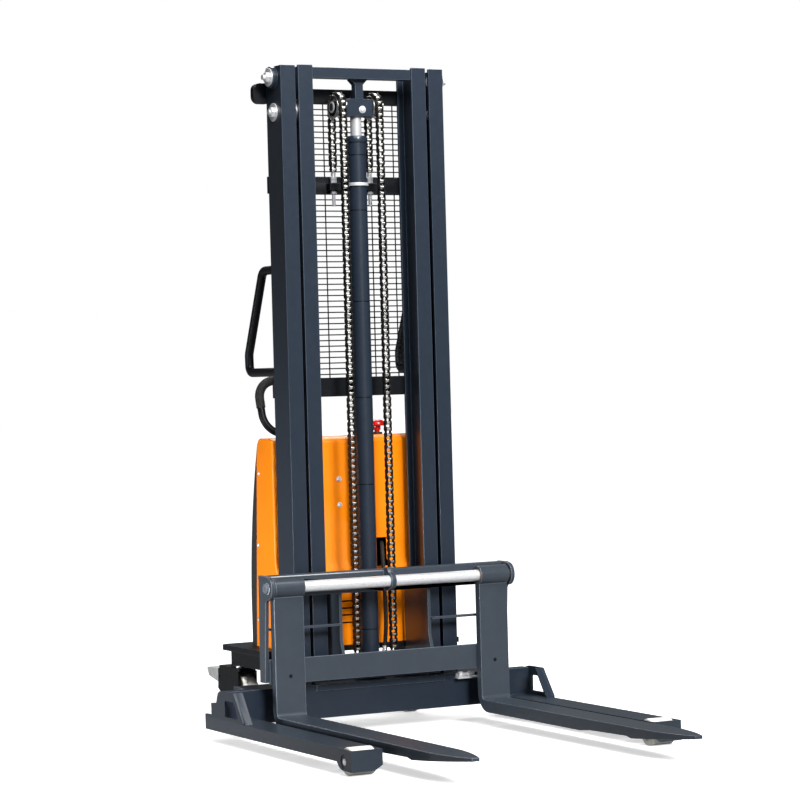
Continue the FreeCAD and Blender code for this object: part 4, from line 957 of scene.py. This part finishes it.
def covers():
    """Orange front cover with its hose opening and vents, and the black cover behind it."""
    low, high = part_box("front_cover")
    foot, half = low.z, high.x
    front, lower_front, top = COVER_FRONT, MAST_FRONT + 0.122, COVER_TOP
    rear_foot, rear_top = MAST_FRONT + 0.2886, MAST_FRONT + 0.2496
    corner = [(rear_top + 0.7 * MM, 0.9086), (rear_top - 1.2 * MM, 0.9135),
              (rear_top - 4.7 * MM, 0.9186), (rear_top - 9.9 * MM, 0.9221),
              (rear_top - 0.015, 0.9234)]
    outline = [(lower_front, foot), (rear_foot, foot), *corner, (front + 0.026, top),
               (front, top - 0.014), (front, 0.531), (lower_front, 0.503)]
    hose_way = [(0.052, 0.505), (0.108, 0.505), (0.108, 0.596), (0.074, 0.596), (0.052, 0.580)]
    cutters = [cutter_from(hose_way, front - 0.03, front + 0.01)]
    for height in (0.3325, 0.3565, 0.3785, 0.4005):
        cutters.append(cutter_from(stadium(-0.150, 0.040, height, 2.5 * MM), front - 0.03, front))
    shell("front_cover_shell", outline, half, {0, 1}, 9 * MM, 2.4 * MM, "orange_cover",
          "front_cover", cutters)
    collar = bmesh.new()
    switch = middle("emergency_switch")
    turned(collar, "z", (switch.x, switch.y, 0), [
        (top - 3 * MM, 0.0092), (top - 3 * MM, 0.0170), (top + 4.5 * MM, 0.0170),
        (top + 6 * MM, 0.0158), (top + 6 * MM, 0.0092)], 48, hollow=True)
    piece("emergency_collar", collar, "chassis", "black_plastic")
    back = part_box("rear_cover")[1].y
    bulge, tip = (MAST_FRONT + 0.305, 0.660), (rear_top + 0.8 * MM, 0.915)
    outline = [(MAST_FRONT + 0.289, foot), (back, foot), (back, 0.420),
               *arc_through((back, 0.420), bulge, tip)]
    shell("rear_cover_shell", outline, half, {0, len(outline) - 1}, 7 * MM, 2.6 * MM,
          "black_plastic", "rear_cover")


def cover_screws():
    """Zinc button heads with a hexagon socket and a washer."""
    mesh = bmesh.new()

    def screw(axis, centre, face, outward, radius, height):
        top, shoulder = face + outward * height, face + outward * height * 0.6
        turned(mesh, axis, centre, [(face, radius), (face + outward * 0.8 * MM, radius)], 28)
        turned(mesh, axis, centre, [
            (face + outward * 0.6 * MM, radius * 0.8), (shoulder, radius * 0.72),
            (top, radius * 0.45), (top, radius * 0.34),
            (face + outward * height * 0.5, radius * 0.3)], 24)

    side, front_heights = 0.285, (0.706, 0.788)
    side_spots = ((0.240, 0.811), (0.258, 0.584), (0.266, 0.347))
    for height in front_heights:
        screw("y", (-0.055, 0, height), COVER_FRONT, -1, 9 * MM, 5 * MM)
    for sign in SIGNS:
        for line, height in side_spots:
            screw("x", (0, MAST_FRONT + line, height), sign * side, sign, 6 * MM, 4 * MM)
    piece("cover_screws_zinc", mesh, "chassis", "zinc", ["cover_screws"])


def emergency_switch():
    """Mushroom head with a dished crown and a knurled rim, on its neck."""
    low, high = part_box("emergency_switch")
    centre = (middle("emergency_switch").x, middle("emergency_switch").y, 0)
    mesh = bmesh.new()
    top = high.z
    cap = [(top - 20 * MM, 0.0125), (top - 20 * MM, 0.0236), (top - 17.4 * MM, 0.0256),
           (top - 10.5 * MM, 0.0256), (top - 5.5 * MM, 0.0228), (top - 1.5 * MM, 0.0172),
           (top, 0.012), (top - 0.5 * MM, 0.006), (top - 0.6 * MM, 0.001)]
    turned(mesh, "z", centre, cap, 60)
    neck = [(low.z, 0.0086), (low.z + 0.022, 0.0086), (low.z + 0.022, 0.0116),
            (low.z + 0.024, 0.0122), (top - 20.2 * MM, 0.0122)]
    turned(mesh, "z", centre, neck, 48)
    for angle in full_turn(30):
        ridge = [Vector(centre) + polar(0.0252, angle, top - drop * MM) for drop in (16.5, 11)]
        swept(mesh, ridge, 0.7 * MM, 6)
    piece("emergency_button", mesh, "stop_button", "red_plastic", ["emergency_switch"])


def console():
    """Control panel with a raised plate and a charge gauge of five bars."""
    worked("console_panel", 2 * MM, 3)
    mesh = bmesh.new()
    upper = Vector((0, MAST_FRONT + 0.266, 0.895))
    lower = Vector((0, MAST_FRONT + 0.294, 0.784))
    down = (lower - upper).normalized()
    out = AXES["x"].cross(down).normalized()
    if out.y < 0:
        out.negate()

    def raised(left, right, start, stop, height, number):
        spots = ((start, left), (start, right), (stop, right), (stop, left))
        corners = [upper + down * along + AXES["x"] * across for along, across in spots]
        skin_loops(mesh, [[corner + out * level for corner in corners]
                          for level in (-1.5 * MM, height)], number)

    raised(-0.048, 0.048, 0.030, 0.066, 2.0 * MM, 0)
    for bar in range(5):
        left = -0.038 + bar * 0.016
        raised(left, left + 0.012, 0.040, 0.056, 2.6 * MM, 1 if bar else 2)
    piece("charge_gauge", mesh, "chassis", "black_plastic",
          finishes=["rubber", "zinc", "red_plastic"], bevel=0.6 * MM, sharp=50)


# ---- hose, handles, tiller
def lift_hose():
    """Hose from the valve block through the cover to the cylinder's elbow, with crimped ends."""
    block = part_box("valve_block")[1].z
    route = [(134, 208, block / MM), (132, 206, 528), (125, 195, 556), (112, 174, 574),
             (98, 149, 578), (87, 124, 568), (79, 106, 544), (75, 96, 508), (74, 90, 456),
             (73, 84, 396), (70, 76, 338), (62, 66, 288), (52, 57, 240)]
    points = [Vector((x * MM, MAST_FRONT + y * MM, z * MM)) for x, y, z in route]
    curve = bpy.data.curves.new("hose_line", "CURVE")
    curve.dimensions = "3D"
    spline = curve.splines.new("NURBS")
    spline.points.add(len(points) - 1)
    for spot, point in zip(spline.points, points):
        spot.co = (*point, 1)
    spline.order_u = 3
    spline.use_endpoint_u = True
    spline.resolution_u = 6
    carrier = placed("hose_line", curve)
    smooth = bpy.data.meshes.new_from_object(carrier)
    path = [vertex.co.copy() for vertex in smooth.vertices]
    bpy.data.objects.remove(carrier)
    mesh = bmesh.new()
    swept(mesh, path, 6.5 * MM, 24)
    for end, towards in ((path[0], path[1]), (path[-1], path[-2])):
        along = (towards - end).normalized()
        spots = [end + along * (offset * MM) for offset in (0.0, 1, 4, 5, 8, 9, 12, 13, 16, 17)]
        rings = [7.6, 8.2, 8.2, 7.5, 7.5, 8.2, 8.2, 7.5, 7.5, 6.6]
        swept(mesh, spots, [ring * MM for ring in rings], 24, 1)
    piece("lift_hose_smooth", mesh, "chassis", "rubber", ["lift_hose"], ["rubber", "zinc"])


def grab_handles():
    """Round tube handles behind the uprights."""
    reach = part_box("grab_handles")[1].y - HANDLE_TUBE
    foot, head = HANDLE_ENDS
    mesh = bmesh.new()
    for sign in SIGNS:
        x = sign * (MAST_HALF - HANDLE_TUBE)
        corners = [(x, MAST_BACK, head), (x, MAST_FRONT + 0.200, head), (x, reach, 1.190),
                   (x, reach - 0.002, foot), (x, MAST_BACK, foot)]
        swept(mesh, rounded(corners, [0.034, 0.034, 0.024]), HANDLE_TUBE, 32)
    piece("grab_handle_tubes", mesh, "chassis", "black_metal", ["grab_handles"])


def ribbed(mesh, route, ribs, thin=14.4 * MM, thick=15.4 * MM):
    """A sleeve along a route that swells at every rib."""
    spots = [0.0]
    for here, after in zip(route, route[1:]):
        spots.append(spots[-1] + (after - here).length)

    def at(share):
        distance = share * spots[-1]
        for number in range(1, len(spots)):
            if distance <= spots[number]:
                part = (distance - spots[number - 1]) / (spots[number] - spots[number - 1])
                return route[number - 1].lerp(route[number], part)
        return route[-1]

    points, radii = [at(0)], [thin]
    for rib in range(ribs):
        for share, size in ((0.12, thin), (0.3, thick), (0.7, thick), (0.88, thin)):
            points.append(at((rib + share) / ribs))
            radii.append(size)
    swept(mesh, points + [at(1)], radii + [thin], 32)


def tiller():
    """Bent arm with a moulded head, closed loop, ribbed grips and the lift lever."""
    worked("tiller_arm", 2.5 * MM, 3)
    worked("lift_lever", 2 * MM, 3)
    radius = 12.5 * MM
    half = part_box("tiller_loop")[1].x - radius
    foot = Vector((0, MAST_FRONT + 0.5905, 0.927))
    top = Vector((0, MAST_FRONT + 0.6425, 1.105))
    across = AXES["x"] * half
    mesh = bmesh.new()
    corners = [foot, foot + across, top + across, top - across, foot - across, foot]
    path = rounded(corners, [0.072, 0.062, 0.062, 0.072])
    swept(mesh, path, radius, 32)
    piece("tiller_loop_tube", mesh, "tiller", "black_metal", ["tiller_loop"])
    mesh = bmesh.new()
    near_middle = AXES["x"] * 0.030
    for sign in SIGNS:
        reach = across * sign
        corners = [(foot + top) / 2 + reach, top + reach, top + near_middle * sign]
        ribbed(mesh, rounded(corners, [0.062], 24), 24)
    piece("tiller_grip_sleeves", mesh, "tiller", "rubber", ["tiller_grips"])


def load_axles():
    """Bright axle ends, chamfered, with a centre drilling."""
    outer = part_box("load_wheel_axles")[1].x
    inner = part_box("straddle_leg_right")[0].x - 2 * MM
    centre = middle("load_wheel_axles")
    mesh = bmesh.new()
    profile = [(inner, 0.009), (inner + 1 * MM, 0.010), (outer - 1.2 * MM, 0.010),
               (outer, 0.0088), (outer, 0.003), (outer - 1.5 * MM, 0.001)]
    for sign in SIGNS:
        turned(mesh, "x", (0, centre.y, centre.z),
               [(sign * along, radius) for along, radius in profile], 40)
    piece("load_axles_bright", mesh, "chassis", "chrome", ["load_wheel_axles"])


# ---- assembly
camera()
studio()

for plate in ("base_beam", "straddle_leg_left", "straddle_leg_right", "outer_uprights",
              "inner_uprights", "outer_ties", "inner_cross_members", "carriage_top_bar",
              "carriage_lower_bar", "carriage_end_plates", "caster_mounts"):
    worked(plate, 1.5 * MM)
for thin in ("leg_brackets", "carriage_roller_frame", "caster_fork_left", "caster_fork_right",
             "cylinder_clamp"):
    worked(thin, 0.9 * MM)
for thick in ("fork_left", "fork_right", "deck", "brake_pedal_left", "brake_pedal_right", "battery",
              "hydraulic_tank", "charger", "valve_block"):
    worked(thick, 2.2 * MM, 3)
for plain in ("fork_sleeve_left", "fork_sleeve_right", "pump_motor"):
    painted(plain)
for side in SIDES:
    bpy.data.objects[f"brake_pedal_{side}_finished"].data.materials[0] = FINISHES["pedal_metal"]
    # the legs take the lighter leg paint, painted light for the floor's bounce, with the fork's
    # painted-highlight paint on their edges
    leg = bpy.data.objects[f"straddle_leg_{side}_finished"].data.materials
    leg[0], leg[1] = FINISHES["leg_paint_lit"], FINISHES["fork_highlight_paint"]

welds()
mesh_guard()
axle_bolts()
for rollers in ("outer_mast_rollers", "inner_mast_rollers", "carriage_rollers_lower",
                "carriage_rollers_upper"):
    mast_roller(rollers)
lift_cylinder()
piston_rod()
yoke()
for side in SIDES:
    sheave(side)
chains()
chain_anchors()
fork_shaft()
carriage_stop()
load_axles()
for side, sign in SIDES.items():
    fork_details(side, sign)
    load_wheel(side)
    caster_wheel(side)
    caster_fittings(side)
covers()
cover_screws()
emergency_switch()
console()
lift_hose()
grab_handles()
tiller()
